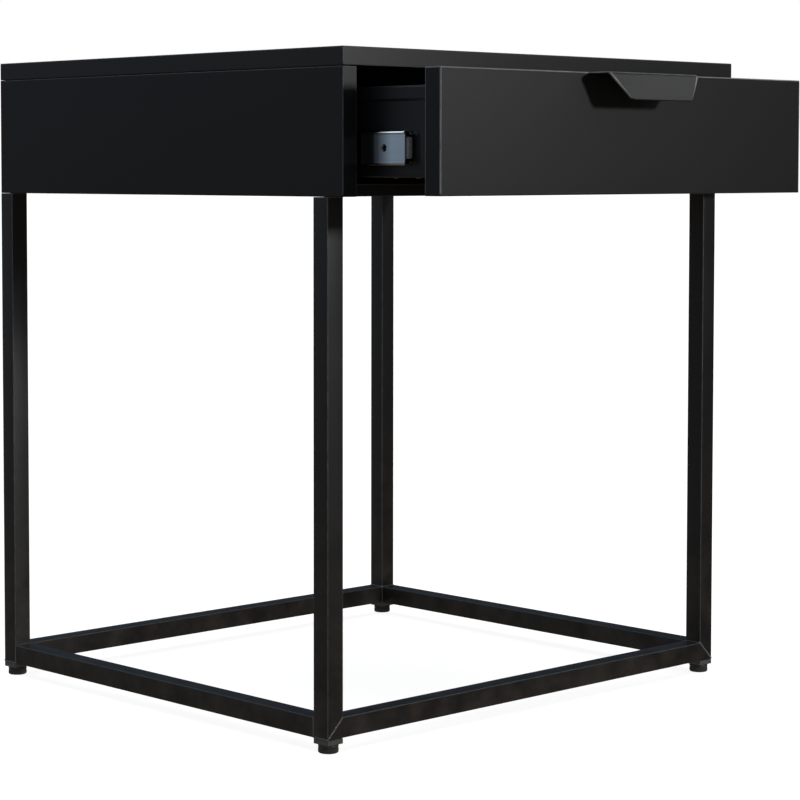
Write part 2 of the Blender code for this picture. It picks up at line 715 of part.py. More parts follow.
def build_table():
    clear_scene()
    mats = finishes()
    boards = build_box(mats)
    rails = build_frame(mats)
    build_leg_fixings(boards, mats)
    build_feet(rails, mats)

    drawer = group("drawer_travel", (0, DRAWER_FACE, SLIDE_LEVEL))
    middles, cages = {}, {}
    for side, sign in SIDES.items():
        place = (sign * (INSIDE - SLIDE_ROOM / 2), FRONT, SLIDE_LEVEL)
        middles[side] = group(f"slide_middle_travel_{side}", place)
        cages["outer", side] = group(f"outer_cage_travel_{side}", place)
        cages["inner", side] = group(f"inner_cage_travel_{side}", place)

    tray_sides = build_tray(mats, drawer)
    front = build_front(mats, drawer, tray_sides)
    build_pull(mats, drawer, front)
    size = (SLIDE_SCREW_RADIUS, SLIDE_SCREW_HEAD, INNER_SCREW_LENGTH)
    for side, sign, inner, inner_start, inner_web in build_slides(boards, mats, drawer, middles, cages):
        for number, along in enumerate(INNER_SCREWS_AT):
            seat = (sign * (inner_web + SLIDE_WALL + GAP), inner_start + along, SLIDE_LEVEL)
            outward = (sign, 0, 0)
            name = f"{side}_{number + 1}"
            screw(f"inner_screw_{name}", *size, seat, outward, mats["zinc"], drawer, countersunk=False)
            targets = (inner, tray_sides[side])
            screw_hole(targets, f"inner_hole_{name}", *size, seat, outward, drawer, countersunk=False)


build_table()
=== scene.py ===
"""Side table with one drawer: the finished surfaces, materials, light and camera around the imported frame.

Everything is in metres in the frame's own axes: +X to the right, the drawer opens along -Y, +Z up.
Each piece has its place in its mesh, and takes it from the boxes of the frame's nodes.
"""

import math

import bmesh
import bpy
import numpy as np
from bpy.props import FloatProperty, FloatVectorProperty, IntProperty, PointerProperty
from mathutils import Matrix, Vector


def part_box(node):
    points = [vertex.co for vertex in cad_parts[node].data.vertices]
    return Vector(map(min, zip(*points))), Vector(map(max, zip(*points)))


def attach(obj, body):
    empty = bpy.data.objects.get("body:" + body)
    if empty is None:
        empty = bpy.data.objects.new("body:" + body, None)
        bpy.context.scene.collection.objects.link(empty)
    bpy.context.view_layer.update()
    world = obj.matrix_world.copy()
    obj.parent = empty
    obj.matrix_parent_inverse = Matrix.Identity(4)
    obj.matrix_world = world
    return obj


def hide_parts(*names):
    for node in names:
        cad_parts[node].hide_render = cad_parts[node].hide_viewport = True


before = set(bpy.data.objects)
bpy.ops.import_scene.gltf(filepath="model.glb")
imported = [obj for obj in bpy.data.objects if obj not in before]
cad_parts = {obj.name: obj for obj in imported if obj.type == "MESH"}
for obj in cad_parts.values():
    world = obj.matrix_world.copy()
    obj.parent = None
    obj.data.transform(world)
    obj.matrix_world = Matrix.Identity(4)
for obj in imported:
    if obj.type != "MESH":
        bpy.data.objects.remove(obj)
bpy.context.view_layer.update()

bl_info = {
    "name": "Side table with drawer",
    "version": (1, 0, 0),
    "blender": (4, 5, 0),
    "location": "3D View > Sidebar > Side Table",
    "description": "Builds the surfaces and the studio of a black side table with one drawer",
    "category": "Object",
}

MERGE = 1e-6  # points nearer than this are one point
CLEARANCE = 0.0003  # between pieces that touch
INNER_CORNER = 0.0004  # radius of the inner corners of tubes and of small folded edges
X, Y, Z = 0, 1, 2
LEFT_RIGHT = {"left": -1, "right": 1}
RIM_DEEP, RIM_END = 0.0018, 0.0032  # how deep a web's raised rim is, and where its slope ends
WINDOW = 0.0052  # half the side of the flat square round an access hole
HELD_BY = {"outer": "middle", "inner": "inner"}  # the member that each layer of balls rolls on
THREAD_PITCH, THREAD_DEPTH = 0.0008, 0.00022
RIVETS = (0.0249, 0.0538, 0.130, 0.210, 0.290, 0.370, 0.430)  # behind the tray's front end
CORNERS = [(end, side) for end in ("front", "back") for side in LEFT_RIGHT]


# Shader maths ----------------


def connect(tree, value, socket):
    """Link a Wire to a socket, or set the socket to a number, a vector or a colour."""
    if isinstance(value, Wire):
        tree.links.new(value.socket, socket)
    elif hasattr(socket.default_value, "__len__"):
        size = len(socket.default_value)
        value = tuple(value) if hasattr(value, "__len__") else (value,) * 3
        socket.default_value = (*value, 1.0)[:size]
    else:
        socket.default_value = value


def summed(operation, reflected=False):
    """A method that adds the Math node of an operation on its wire and another value, or the reverse."""
    if reflected:
        return lambda self, other: self.math(operation, other, self)
    return lambda self, other: self.math(operation, self, other)


class Wire:
    """One socket of a node tree, whose sums, products and powers add their Math nodes."""

    __add__, __radd__ = summed("ADD"), summed("ADD", True)
    __sub__, __rsub__ = summed("SUBTRACT"), summed("SUBTRACT", True)
    __mul__, __rmul__ = summed("MULTIPLY"), summed("MULTIPLY", True)
    __truediv__, __pow__ = summed("DIVIDE"), summed("POWER")
    lower, higher = summed("MINIMUM"), summed("MAXIMUM")

    def __init__(self, tree, socket):
        self.tree = tree
        self.socket = socket

    def __abs__(self):
        return self.math("ABSOLUTE", self)

    def math(self, operation, *values):
        node = self.tree.nodes.new("ShaderNodeMath")
        node.operation = operation
        for socket, value in zip(node.inputs, values):
            connect(self.tree, value, socket)
        return Wire(self.tree, node.outputs[0])

    def between(self, low, high):
        """0 below low, 1 above high and a straight rise from one to the other."""
        share = (self - low) / (high - low)
        return share.higher(0.0).lower(1.0)


class Shading:
    """Builds the nodes of one material or world."""

    def __init__(self, owner):
        owner.use_nodes = True
        self.tree = owner.node_tree
        self.tree.nodes.clear()

    def node(self, kind, settings=None, sockets=None, out=0):
        """Any node: its settings first, then its sockets by name or number."""
        node = self.tree.nodes.new(kind)
        for name, value in (settings or {}).items():
            setattr(node, name, value)
        for key, value in (sockets or {}).items():
            connect(self.tree, value, node.inputs[key])
        return Wire(self.tree, node.outputs[out])

    def output(self, kind, surface):
        output = self.tree.nodes.new(kind)
        self.tree.links.new(surface.socket, output.inputs["Surface"])

    def place(self, scale=(1, 1, 1), centre=(0, 0, 0)):
        """Object coordinates about a centre, stretched by a scale along each axis."""
        coordinates = self.node("ShaderNodeTexCoord", out=3)
        start = tuple(-c * s for c, s in zip(centre, scale))
        sockets = {"Vector": coordinates, "Location": start, "Scale": scale}
        return self.node("ShaderNodeMapping", sockets=sockets)

    def axes(self, vector):
        """The three components of a vector."""
        node = self.tree.nodes.new("ShaderNodeSeparateXYZ")
        connect(self.tree, vector, node.inputs[0])
        return [Wire(self.tree, socket) for socket in node.outputs]

    def noise(self, scale, detail=2.0, stretch=(1, 1, 1)):
        """Smooth noise about one half, scale blobs to the metre."""
        sockets = {"Vector": self.place(stretch), "Scale": scale, "Detail": detail, "Roughness": 0.55}
        return self.node("ShaderNodeTexNoise", sockets=sockets)

    def mix(self, share, first, second):
        """The first colour at share 0 and the second at share 1."""
        return self.node("ShaderNodeMix", {"data_type": "RGBA"}, {0: share, 6: first, 7: second}, out=2)

    def bump(self, height):
        """A bump whose height is in metres."""
        return self.node("ShaderNodeBump", sockets={"Height": height, "Distance": 1.0, "Strength": 1.0})

    def height(self):
        """How high a point lies above the floor."""
        return self.axes(self.place())[Z]


def finished(name, build):
    """A material whose nodes build makes: it takes a Shading and returns the shader's sockets."""
    material = bpy.data.materials.new(name)
    shading = Shading(material)
    sockets = build(shading)
    shading.output("ShaderNodeOutputMaterial", shading.node("ShaderNodeBsdfPrincipled", sockets=sockets))
    return material


# Materials ----------------

# warm pale tint of dirt and painted floor bounce on the low frame
DUST_AND_BOUNCE = (0.085, 0.072, 0.060)
# dark tint of lubricant and painted shade on the slides
GREASE_AND_SHADE = (0.030, 0.028, 0.026)
EDGE_BLUR = 0.0002  # half the width over which a painted edge highlight fades


def times(colour, factor):
    """A colour made paler or darker by a factor."""
    return tuple(part * factor for part in colour)


def edge_distance(shading, low, high):
    """Minus the distance from a point of a box's surface to the nearest edge: the middle one of its three
    distances past the faces."""
    centre = tuple((low + high) / 2)
    reach = (high - low) / 2
    x, y, z = shading.axes(shading.place(centre=centre))
    past = [abs(along) - float(half) for along, half in zip((x, y, z), reach)]
    return past[0].lower(past[1]).higher(past[0].higher(past[1]).lower(past[2]))


def edge_highlight_mask(box, width=0.0011):
    """Where the painted edge highlight goes: how near a point is to a box's edges, 1 within the width, 0
    beyond it or at the bottom.
    """

    def highlight_mask(shading):
        # painted highlight, left off the bottom edges
        above = shading.height().between(box[0][Z] + 0.0015, box[0][Z] + 0.0030)
        return edge_distance(shading, *box).between(-width - EDGE_BLUR, -width + EDGE_BLUR) * above

    return highlight_mask


def lacquer(name, colour, roughness, box, edge):
    """Sprayed satin lacquer on board: faint clouding, orange peel, fine nibs of grit, and paler, glossier
    edges that are a painted highlight.
    """

    def build(shading):
        cloud = shading.noise(5.0, 3.0)
        fine = shading.noise(420.0, 2.0)
        nibs = shading.noise(900.0, 1.0).between(0.70, 0.78)
        # painted highlight: the edge colour and a lower roughness along the box's edges
        lacquer_edge_highlight = edge_highlight_mask(box)(shading)
        lacquer_highlight_share = lacquer_edge_highlight * (0.7 + 0.3 * shading.noise(60.0, 3.0).between(0.40, 0.62))
        base = shading.mix(cloud.between(0.35, 0.65), colour, times(colour, 1.22))
        height = fine * 0.00004 + nibs * 0.00001
        return {
            "Base Color": shading.mix(lacquer_highlight_share, base, edge),
            "Roughness": roughness + (cloud - 0.5) * 0.05 + (fine - 0.5) * 0.05 - lacquer_edge_highlight * 0.10,
            "Normal": shading.bump(height),
            "IOR": 1.43,
        }

    return finished(name, build)


def powder_coat(name, colour, roughness, dust_and_bounce, edge, highlight_mask):
    """Baked powder coat on steel: a fine leathery grain, slight changes in thickness, warm pale patches of
    dirt and painted floor bounce growing from the higher of two heights down to the lower, and a paler coat
    as a painted highlight where the edge mask is 1."""

    def build(shading):
        grain = shading.noise(1500.0, 2.0)
        sockets = {"Vector": shading.place(), "Scale": 750.0}
        dimple = shading.node("ShaderNodeTexVoronoi", {"feature": "SMOOTH_F1"}, sockets)
        thick = shading.noise(14.0, 3.0)
        # dirt and painted warm floor bounce: paler, warmer patches towards the floor
        low = 1.0 - shading.height().between(*dust_and_bounce)
        dust_and_bounce_share = low * shading.noise(35.0, 4.0).between(0.35, 0.75)
        # painted highlight: the pale edge colour where the edge mask is 1
        coat_edge_highlight = highlight_mask(shading) * (0.6 + 0.4 * shading.noise(90.0, 3.0).between(0.4, 0.6))
        base = shading.mix(thick.between(0.35, 0.65), colour, times(colour, 1.35))
        base = shading.mix(coat_edge_highlight, base, edge)
        return {
            "Base Color": shading.mix(dust_and_bounce_share * 0.7, base, DUST_AND_BOUNCE),
            "Roughness": roughness + (thick - 0.5) * 0.10 + (grain - 0.5) * 0.12 + dust_and_bounce_share * 0.05,
            "Normal": shading.bump(grain * 0.00003 + dimple * 0.00004),
            "IOR": 1.63,
        }

    return finished(name, build)


def rolled_zinc(name, colour, roughness, along=Y, grease_and_shade=(1.0, 2.0)):
    """Cold-rolled steel with bright zinc: roll lines along one axis, faint spangle, dull patches, and a dark
    layer of lubricant and painted shade behind the second of two places along Y, fading out towards the
    first."""

    def build(shading):
        stretch = [1.0, 1.0, 1.0]
        stretch[along] = 0.03
        lines = shading.noise(900.0, 3.0, stretch)
        spangle = shading.node("ShaderNodeTexVoronoi", None, {"Vector": shading.place(), "Scale": 260.0})
        dull = shading.noise(22.0, 4.0)
        plated = (lines * 0.5 + dull * 0.5).between(0.38, 0.62)
        plated = shading.mix(plated, times(colour, 0.88), colour)
        # lubricant and painted shade: darker towards the back, inside the cabinet
        film = shading.axes(shading.place())[Y].between(*grease_and_shade)
        return {
            "Base Color": shading.mix(film * 0.88, plated, GREASE_AND_SHADE),
            "Metallic": 1.0,
            "Roughness": roughness + (lines - 0.5) * 0.05 + (dull - 0.5) * 0.05 + spangle * 0.03,
            "Normal": shading.bump(lines * 0.000003 + spangle * 0.000001),
        }

    return finished(name, build)


def moulded_plastic(name, colour, roughness):
    """Moulded plastic: a fine spark-eroded texture with scuffs."""

    def build(shading):
        grain = shading.noise(2400.0, 2.0)
        scuff = shading.noise(160.0, 4.0, (1.0, 1.0, 3.0)).between(0.52, 0.70)
        pale = tuple(part * 1.8 + 0.004 for part in colour)
        return {
            "Base Color": shading.mix(scuff * 0.5, colour, pale),
            "Roughness": roughness + (grain - 0.5) * 0.16 + scuff * 0.08,
            "Normal": shading.bump(grain * 0.00004),
            "IOR": 1.47,
        }

    return finished(name, build)


def sheet_paint(name, colour, roughness):
    """Smooth paint on pressed sheet: the sheet's slight waviness shows under a fine even skin."""

    def build(shading):
        wavy = shading.noise(9.0, 1.0, (1.0, 0.4, 1.0))
        fine = shading.noise(1100.0, 2.0)
        drift = shading.noise(3.0, 3.0)
        return {
            "Base Color": shading.mix(drift.between(0.35, 0.65), colour, times(colour, 1.3)),
            "Roughness": roughness + (drift - 0.5) * 0.06 + (fine - 0.5) * 0.08,
            "Normal": shading.bump(wavy * 0.0006 + fine * 0.00002),
            "IOR": 1.5,
        }

    return finished(name, build)


# Surfaces ----------------


def quarter(steps):
    """Angles from 0 to a right angle."""
    return np.linspace(0.0, np.pi / 2, steps + 1)


def full_turn(steps):
    """Angles round a circle, without the last one, which is the first again."""
    return np.linspace(0.0, 2 * np.pi, steps, endpoint=False)


def circle(angle, radius=1.0):
    """The points of a circle at those angles."""
    return radius * np.stack([np.cos(angle), np.sin(angle)], axis=-1)


def grid_faces(rows, columns, wrap_rows=False):
    """Quads between the neighbours of a grid whose rows are closed rings. Wrapped rows join the last ring to
    the first."""
    row = np.arange(rows if wrap_rows else rows - 1)
    row, column = np.meshgrid(row, np.arange(columns), indexing="ij")
    next_row, next_column = (row + 1) % rows, (column + 1) % columns
    quads = [row * columns + column, row * columns + next_column]
    quads += [next_row * columns + next_column, next_row * columns + column]
    return np.stack(quads, axis=-1).reshape(-1, 4)


def shell(points, caps=True, wrap_rows=False, skip=None):
    """(points, faces) of a grid whose rows are closed rings, with a flat face over each end.
    skip is a mask of the quads to leave out."""
    rows, columns = points.shape[:2]
    faces = grid_faces(rows, columns, wrap_rows)
    if skip is not None:
        faces = faces[~skip.reshape(-1)]
    faces = faces.tolist()
    if caps and not wrap_rows:
        faces.append(list(range(columns)))
        faces.append(list(range((rows - 1) * columns, rows * columns)))
    return points.reshape(-1, 3), faces


def added(name, data):
    """A new object in the scene."""
    obj = bpy.data.objects.new(name, data)
    bpy.context.scene.collection.objects.link(obj)
    return obj


def piece(name, shells, material, body, slot, sharp=None, weighted=False, replaced=None):
    """One object of several shells, with doubles merged, faces outwards and its place in its mesh. It takes
    the place of the frame node that it names as replaced."""
    mesh = bpy.data.meshes.new(name)
    bm = bmesh.new()
    for points, faces in shells:
        part = bpy.data.meshes.new("part")
        part.from_pydata(np.asarray(points, float).tolist(), [], faces)
        bm.from_mesh(part)
        bpy.data.meshes.remove(part)
    bmesh.ops.remove_doubles(bm, verts=bm.verts, dist=MERGE)
    bmesh.ops.dissolve_degenerate(bm, edges=bm.edges, dist=MERGE)
    bmesh.ops.recalc_face_normals(bm, faces=bm.faces)
    bm.to_mesh(mesh)
    bm.free()
    if not len(mesh.polygons):
        raise RuntimeError(f"{name} came out with no faces")
    mesh.shade_smooth()
    if sharp:
        mesh.set_sharp_from_angle(angle=math.radians(sharp))
    mesh.materials.append(material)
    obj = added(name, mesh)
    if weighted:
        modifier = obj.modifiers.new("flat_faces_first", "WEIGHTED_NORMAL")
        modifier.keep_sharp = True
    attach(obj, body)
    if replaced:
        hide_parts(replaced)


def box_of(node):
    """A frame node's lowest and highest corners, as arrays."""
    low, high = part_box(node)
    return np.array(low, float), np.array(high, float)


def distances(low, high):
    """How far a box on one side of the table is from the middle plane at its nearest and its farthest."""
    return sorted((abs(low[X]), abs(high[X])))


def halved(low, high):
    """A box's middle height and half its height."""
    return (low[Z] + high[Z]) / 2, (high[Z] - low[Z]) / 2


def quarter_turns(steps):
    """Angles of four quarter arcs, each with its own two ends, and the corner that each one turns about."""
    angles = np.concatenate([quarter(steps) + turn * np.pi / 2 for turn in range(4)])
    signs = np.repeat([[1, 1], [-1, 1], [-1, -1], [1, -1]], steps + 1, axis=0)
    return angles, signs


def board_surface(low, high, radius, steps=5, notch=None):
    """A board with rounded edges. Across, each point is a corner of a smaller rectangle plus radius times a
    direction that turns once round. Along X, that radius shrinks as the cosine of an angle from -90 to 90
    degrees while the section moves out by its sine. A notch (half width, depth, back) lowers the section's
    top in front of y = back, between two steps."""
    middle, reach = (low + high) / 2, (high - low) / 2 - radius
    angles, signs = quarter_turns(steps)
    across = circle(angles)
    corner = signs * reach[1:]
    lowered = np.zeros(len(angles))
    if notch:
        half, depth, back = notch
        # Two more points on the top face, at the back of the notch, after the first quarter's arc.
        place = np.array([[back - middle[Y], reach[Z]]] * 2)
        corner = np.insert(corner, steps + 1, place, axis=0)
        across = np.insert(across, steps + 1, [[0.0, 1.0]] * 2, axis=0)
        lowered = (corner[:, 0] < back - middle[Y] + 1e-9) & (corner[:, 1] > 0)
        lowered = lowered.astype(float)
        lowered[steps + 1] = 0.0
    tilt = np.concatenate([-quarter(steps)[::-1], quarter(steps)])
    sides = np.sign(np.arange(len(tilt)) - steps - 0.5)
    x = sides * reach[X] + radius * np.sin(tilt)
    swell, drop = np.cos(tilt), np.zeros(len(tilt))
    if notch:
        x = np.insert(x, steps + 1, [-half, -half, half, half])
        swell = np.insert(swell, steps + 1, [1.0] * 4)
        drop = np.insert(drop, steps + 1, [0.0, depth, depth, 0.0])
    section = corner[None] + radius * swell[:, None, None] * across[None]
    z = section[..., 1] - drop[:, None] * lowered[None]
    x = np.broadcast_to(x[:, None], z.shape)
    return middle + np.stack([x, section[..., 0], z], axis=-1)


def square_ring(size, corner, steps):
    """Points round a square of that size with round corners, and their outward directions."""
    angles, signs = quarter_turns(steps)
    across = circle(angles)
    return signs * (size / 2 - corner) + corner * across, across


def tube_surface(low, high, along, wall, corner, mitres, steps=6):
    """A square tube with open ends: the outer ring at its start and end, then the inner ring back. Each end
    is set back by a mitre's share of the distance from the tube's long side."""
    first, second = [axis for axis in (X, Y, Z) if axis != along]
    size = high[first] - low[first]
    middle = (low + high) / 2
    outer = square_ring(size, corner, steps)[0]
    inner = square_ring(size - 2 * wall, INNER_CORNER, steps)[0]
    long_axis, long_way, at_start, at_end = mitres
    rows = []
    for ring, at in ((outer, False), (outer, True), (inner, True), (inner, False)):
        row = np.zeros((len(ring), 3))
        row[:, first] = middle[first] + ring[:, 0]
        row[:, second] = middle[second] + ring[:, 1]
        slant = (row[:, long_axis] - middle[long_axis]) * -long_way + size / 2
        row[:, along] = high[along] - at_end * slant if at else low[along] + at_start * slant
        rows.append(row)
    return np.stack(rows)


def bead_surface(path, outward, radius, pitch, sides=10):
    """A weld bead: a small ring carried along a path. Its radius swells and shrinks as the cosine of the
    distance travelled over the pitch, which makes the bead's ripples."""
    ahead = np.roll(path, -1, axis=0) - np.roll(path, 1, axis=0)
    ahead /= np.linalg.norm(ahead, axis=1)[:, None]
    sideways = np.cross(ahead, outward)
    sideways /= np.linalg.norm(sideways, axis=1)[:, None]
    step = np.linalg.norm(np.roll(path, -1, axis=0) - path, axis=1)
    travelled = np.concatenate([[0.0], np.cumsum(step)[:-1]])
    turns = round(step.sum() / pitch)
    swell = radius * (1.0 + 0.16 * np.cos(2 * np.pi * turns * travelled / step.sum()))
    angle = full_turn(sides)
    up, across = circle(angle).T[:, None, :, None]
    ring = up * outward[:, None] + 1.5 * across * sideways[:, None]
    return path[:, None] + swell[:, None, None] * ring


def resampled(path, *others, spacing):
    """A closed path at even spacing, with what belongs to its points read between them."""
    loop = np.concatenate([path, path[:1]])
    step = np.linalg.norm(np.diff(loop, axis=0), axis=1)
    travelled = np.concatenate([[0.0], np.cumsum(step)])
    places = np.linspace(0.0, travelled[-1], max(8, round(travelled[-1] / spacing)), endpoint=False)
    made = []
    for values in (path, *others):
        values = np.concatenate([values, values[:1]])
        made.append(np.stack([np.interp(places, travelled, column) for column in values.T], axis=-1))
    return made


def turned_surface(profile, segments, ripple=0.0, ripples=24):
    """A profile of (radius, height) points turned round Z. A ripple takes a share off the radius as the
    cosine of the angle times a number of ripples."""
    profile = np.asarray(profile, float)
    angle = full_turn(segments)
    share = 1.0 - ripple * (0.5 + 0.5 * np.cos(ripples * angle))
    radius = profile[:, 0, None] * share
    height = np.broadcast_to(profile[:, 1, None], radius.shape)
    return np.stack([radius * np.cos(angle), radius * np.sin(angle), height], axis=-1)


def rounded_line(corners, radius, steps=4):
    """A bent line: each inner corner becomes an arc of that radius. Returns its points and their normals,
    a quarter turn to the left of the way it goes."""
    corners = np.asarray(corners, float)
    ways = np.diff(corners, axis=0)
    ways /= np.linalg.norm(ways, axis=1)[:, None]
    points, normals = [corners[:1]], [left_of(ways[:1])]
    for corner, before, after in zip(corners[1:-1], ways, ways[1:]):
        turn = math.atan2(before[0] * after[1] - before[1] * after[0], float(before @ after))
        if abs(turn) < 1e-6:
            points.append(corner[None])
            normals.append(left_of(before[None]))
            continue
        back = radius * math.tan(abs(turn) / 2)
        start, side = corner - back * before, math.copysign(1.0, turn)
        centre = start + side * radius * left_of(before)
        angle = np.linspace(0.0, turn, steps + 1)
        spoke = -side * left_of(before)
        spokes = np.cos(angle)[:, None] * spoke + np.sin(angle)[:, None] * left_of(spoke)
        points.append(centre + radius * spokes)
        normals.append(-side * spokes)
    points.append(corners[-1:])
    normals.append(left_of(ways[-1:]))
    return np.concatenate(points), np.concatenate(normals)


def left_of(ways):
    """Directions turned a quarter to the left: minus the second part, then the first."""
    return np.stack([-ways[..., 1], ways[..., 0]], axis=-1)


def strip(corners, radius, thickness, steps=4):
    """The closed outline of a bent strip: its middle line moved half a thickness to the left, then back
    along the right."""
    points, normals = rounded_line(corners, radius, steps)
    half = thickness / 2
    return np.concatenate([points + half * normals, (points - half * normals)[::-1]])


def along_y(outline, stations):
    """An (x, z) outline carried along Y to each station."""
    stations = np.asarray(stations, float)
    shape = (len(stations), len(outline))
    x = np.broadcast_to(outline[None, :, 0], shape)
    z = np.broadcast_to(outline[None, :, 1], shape)
    y = np.broadcast_to(stations[:, None], shape)
    return np.stack([x, y, z], axis=-1)


def rolled_member(outline, start, end, level, nose, stops=()):
    """A rolled section carried along Y. At its front end, the height that the section may reach grows as a
    quarter circle of radius nose, which rounds the corners of the web. Stops are more stations."""
    angle = quarter(6)
    y = np.concatenate([start + nose * (1.0 - np.cos(angle)), np.sort(stops), [end]])
    tallest = np.abs(outline[:, 1] - level).max()
    reach = np.concatenate([tallest - nose * (1.0 - np.sin(angle)), np.full(len(stops) + 1, tallest)])
    surface = along_y(outline, y)
    surface[..., 2] = level + np.clip(surface[..., 2] - level, -reach[:, None], reach[:, None])
    return surface


def hole_shell(near, far, y, level, half, steps=6):
    """A countersunk hole in the middle of a square window of a web: on each face, four flat pieces from a
    side of the square to a quarter of the circle, and between the faces the hole's wall. near and far are
    each a face's place along X and the hole's radius there."""
    angle = np.linspace(np.pi / 4, 2 * np.pi + np.pi / 4, 4 * steps, endpoint=False)
    square = np.array([[1, 1], [-1, 1], [-1, -1], [1, -1]]) * half + (y, level)
    points = []
    for x, radius in (near, far):
        flat = np.concatenate([circle(angle, radius) + (y, level), square])
        points.append(np.insert(flat, 0, x, axis=1))
    points = np.concatenate(points)
    faces = []
    size = len(flat)
    for start in (0, size):
        for side in range(4):
            arc = [(side * steps + step) % (4 * steps) for step in range(steps + 1)]
            corners = [4 * steps + (side + 1) % 4, 4 * steps + side]
            faces.append([start + index for index in arc + corners])
    wall = grid_faces(2, 4 * steps)
    wall = np.where(wall >= 4 * steps, wall - 4 * steps + size, wall)
    return points, faces + wall.tolist()


def repeated(single, offsets):
    """The same shell at each offset."""
    points, faces = single
    offsets = np.asarray(offsets, float)
    many = (points[None] + offsets[:, None]).reshape(-1, 3)
    faces = [[index + copy * len(points) for index in face] for copy in range(len(offsets)) for face in faces]
    return many, faces


def pointed(points, axis, way):
    """Points made about Z, turned so that local Z runs along an axis, forwards or backwards."""
    points = np.roll(points, axis + 1, axis=-1)
    if way < 0:
        points = points.copy()
        points[..., axis] *= -1
        points[..., (axis + 1) % 3] *= -1
    return points


def screw_surface(shank, head, length, rise, sink):
    """A screw about Z with its bearing plane at height 0: a domed head with a cross recess, its side, and a
    shank whose radius waves with the height less the angle, which makes the thread."""
    angle = full_turn(48)
    out = np.linspace(0.0, 1.0, 14)[:, None] * head
    x, y = out * np.cos(angle), out * np.sin(angle)
    arm, reach = 0.17 * head, 0.62 * head
    slot = np.clip(2.0 - 2.0 * (np.minimum(abs(x), abs(y)) / arm) ** 2, 0.0, 1.0)
    slot *= np.clip(4.0 * (1.0 - np.maximum(abs(x), abs(y)) / reach), 0.0, 1.0)
    top = np.stack([x, y, rise * (1.0 - 0.55 * (out / head) ** 2) - 0.5 * head * slot], axis=-1)
    below = np.arange(0.0, length, THREAD_PITCH / 4)[:, None]
    wave = THREAD_DEPTH * (0.5 + 0.5 * np.cos(2 * np.pi * below / THREAD_PITCH - angle))
    radius = np.clip((length - below) / shank, 0.2, 1.0) * (shank - wave)
    side = np.stack([radius * np.cos(angle), radius * np.sin(angle), -sink - below + 0 * angle], axis=-1)
    collar = turned_surface([(head, 0.1 * rise), (head * 0.98, 0.0), (shank, -sink)], 48)
    return np.concatenate([top, collar, side])


def dressed(nodes, material):
    """Give frame nodes that keep their shape a finished material."""
    for node in nodes:
        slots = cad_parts[node].material_slots
        if not len(slots):
            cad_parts[node].data.materials.append(material)
        for slot in slots:
            slot.material = material


# Settings ----------------


def length(name, description, default):
    kind = {"min": 0.0, "unit": "LENGTH", "precision": 5}
    return FloatProperty(name=name, description=description, default=default, **kind)


def colour(name, description, default):
    return FloatVectorProperty(name=name, description=description, default=default, size=3, subtype="COLOR")


def share(name, description, default):
    kind = {"min": 0.0, "max": 1.0, "subtype": "FACTOR"}
    return FloatProperty(name=name, description=description, default=default, **kind)


class BoardSettings(bpy.types.PropertyGroup):
    edge: length("Edge radius", "Rounding of the lacquered edges", 0.0009)
    paint: colour("Board lacquer", "Colour of the box's boards", (0.0085, 0.0090, 0.0095))
    # painted highlight colour along the boards' edges
    board_edge_highlight: colour("Board edges", "Colour of the boards' edges", (0.090,) * 3)
    gloss: share("Board roughness", "Roughness of the boards' lacquer", 0.40)
    # painted light: a paler copy of the board lacquer for the top board alone, which brightens its front edge
    top_lit_paint: colour("Top lacquer", "Colour of the top board", (0.0200,) * 3)
    face_paint: colour("Front lacquer", "Colour of the drawer front", (0.0095,) * 3)
    # painted highlight colour along the drawer front's edges
    face_edge_highlight: colour("Front edges", "Colour of the drawer front's edges", (0.350,) * 3)
    face_gloss: share("Front roughness", "Roughness of the drawer front", 0.51)


class TubeSettings(bpy.types.PropertyGroup):
    wall: length("Wall", "Wall thickness of the square tube", 0.0015)
    corner: length("Corner radius", "Outer corner radius of the square tube", 0.0006)
    bead: length("Bead radius", "Half the height of the weld beads", 0.0007)
    ripple: length("Bead pitch", "Distance between a bead's ripples", 0.0016)
    paint: colour("Frame coat", "Colour of the frame's powder coat", (0.0055,) * 3)
    # painted highlight colour along the frame's edges
    edge: colour("Frame edges", "Colour of the powder coat along the edges", (0.140,) * 3)
    seat: colour("Seat coat", "Colour of the plates above the feet", (0.1600, 0.1630, 0.1450))
    # dirt and painted floor bounce reach this high on the frame
    dust_and_bounce: length("Dust", "How high the dust reaches on the frame", 0.2500)
    # painted highlight: the weld beads' pale coat paints the bright lines along the joints
    weld: colour("Weld coat", "Colour of the powder coat on the weld beads", (0.220,) * 3)
    gloss: share("Frame roughness", "Roughness of the powder coat", 0.40)


class FootSettings(bpy.types.PropertyGroup):
    ribs: IntProperty(name="Ribs", description="Grip ribs round each foot", default=24, min=6, max=60)
    rib_share: share("Rib depth", "Depth of the ribs as a share of the radius", 0.025)
    brim: length("Brim", "Rounding of the pad's upper edge", 0.0012)
    sole: length("Sole", "Rounding of the pad's lower edge", 0.0016)
    stem: length("Stem radius", "Radius of the threaded stem", 0.0040)
    paint: colour("Plastic", "Colour of the feet", (0.075, 0.077, 0.070))


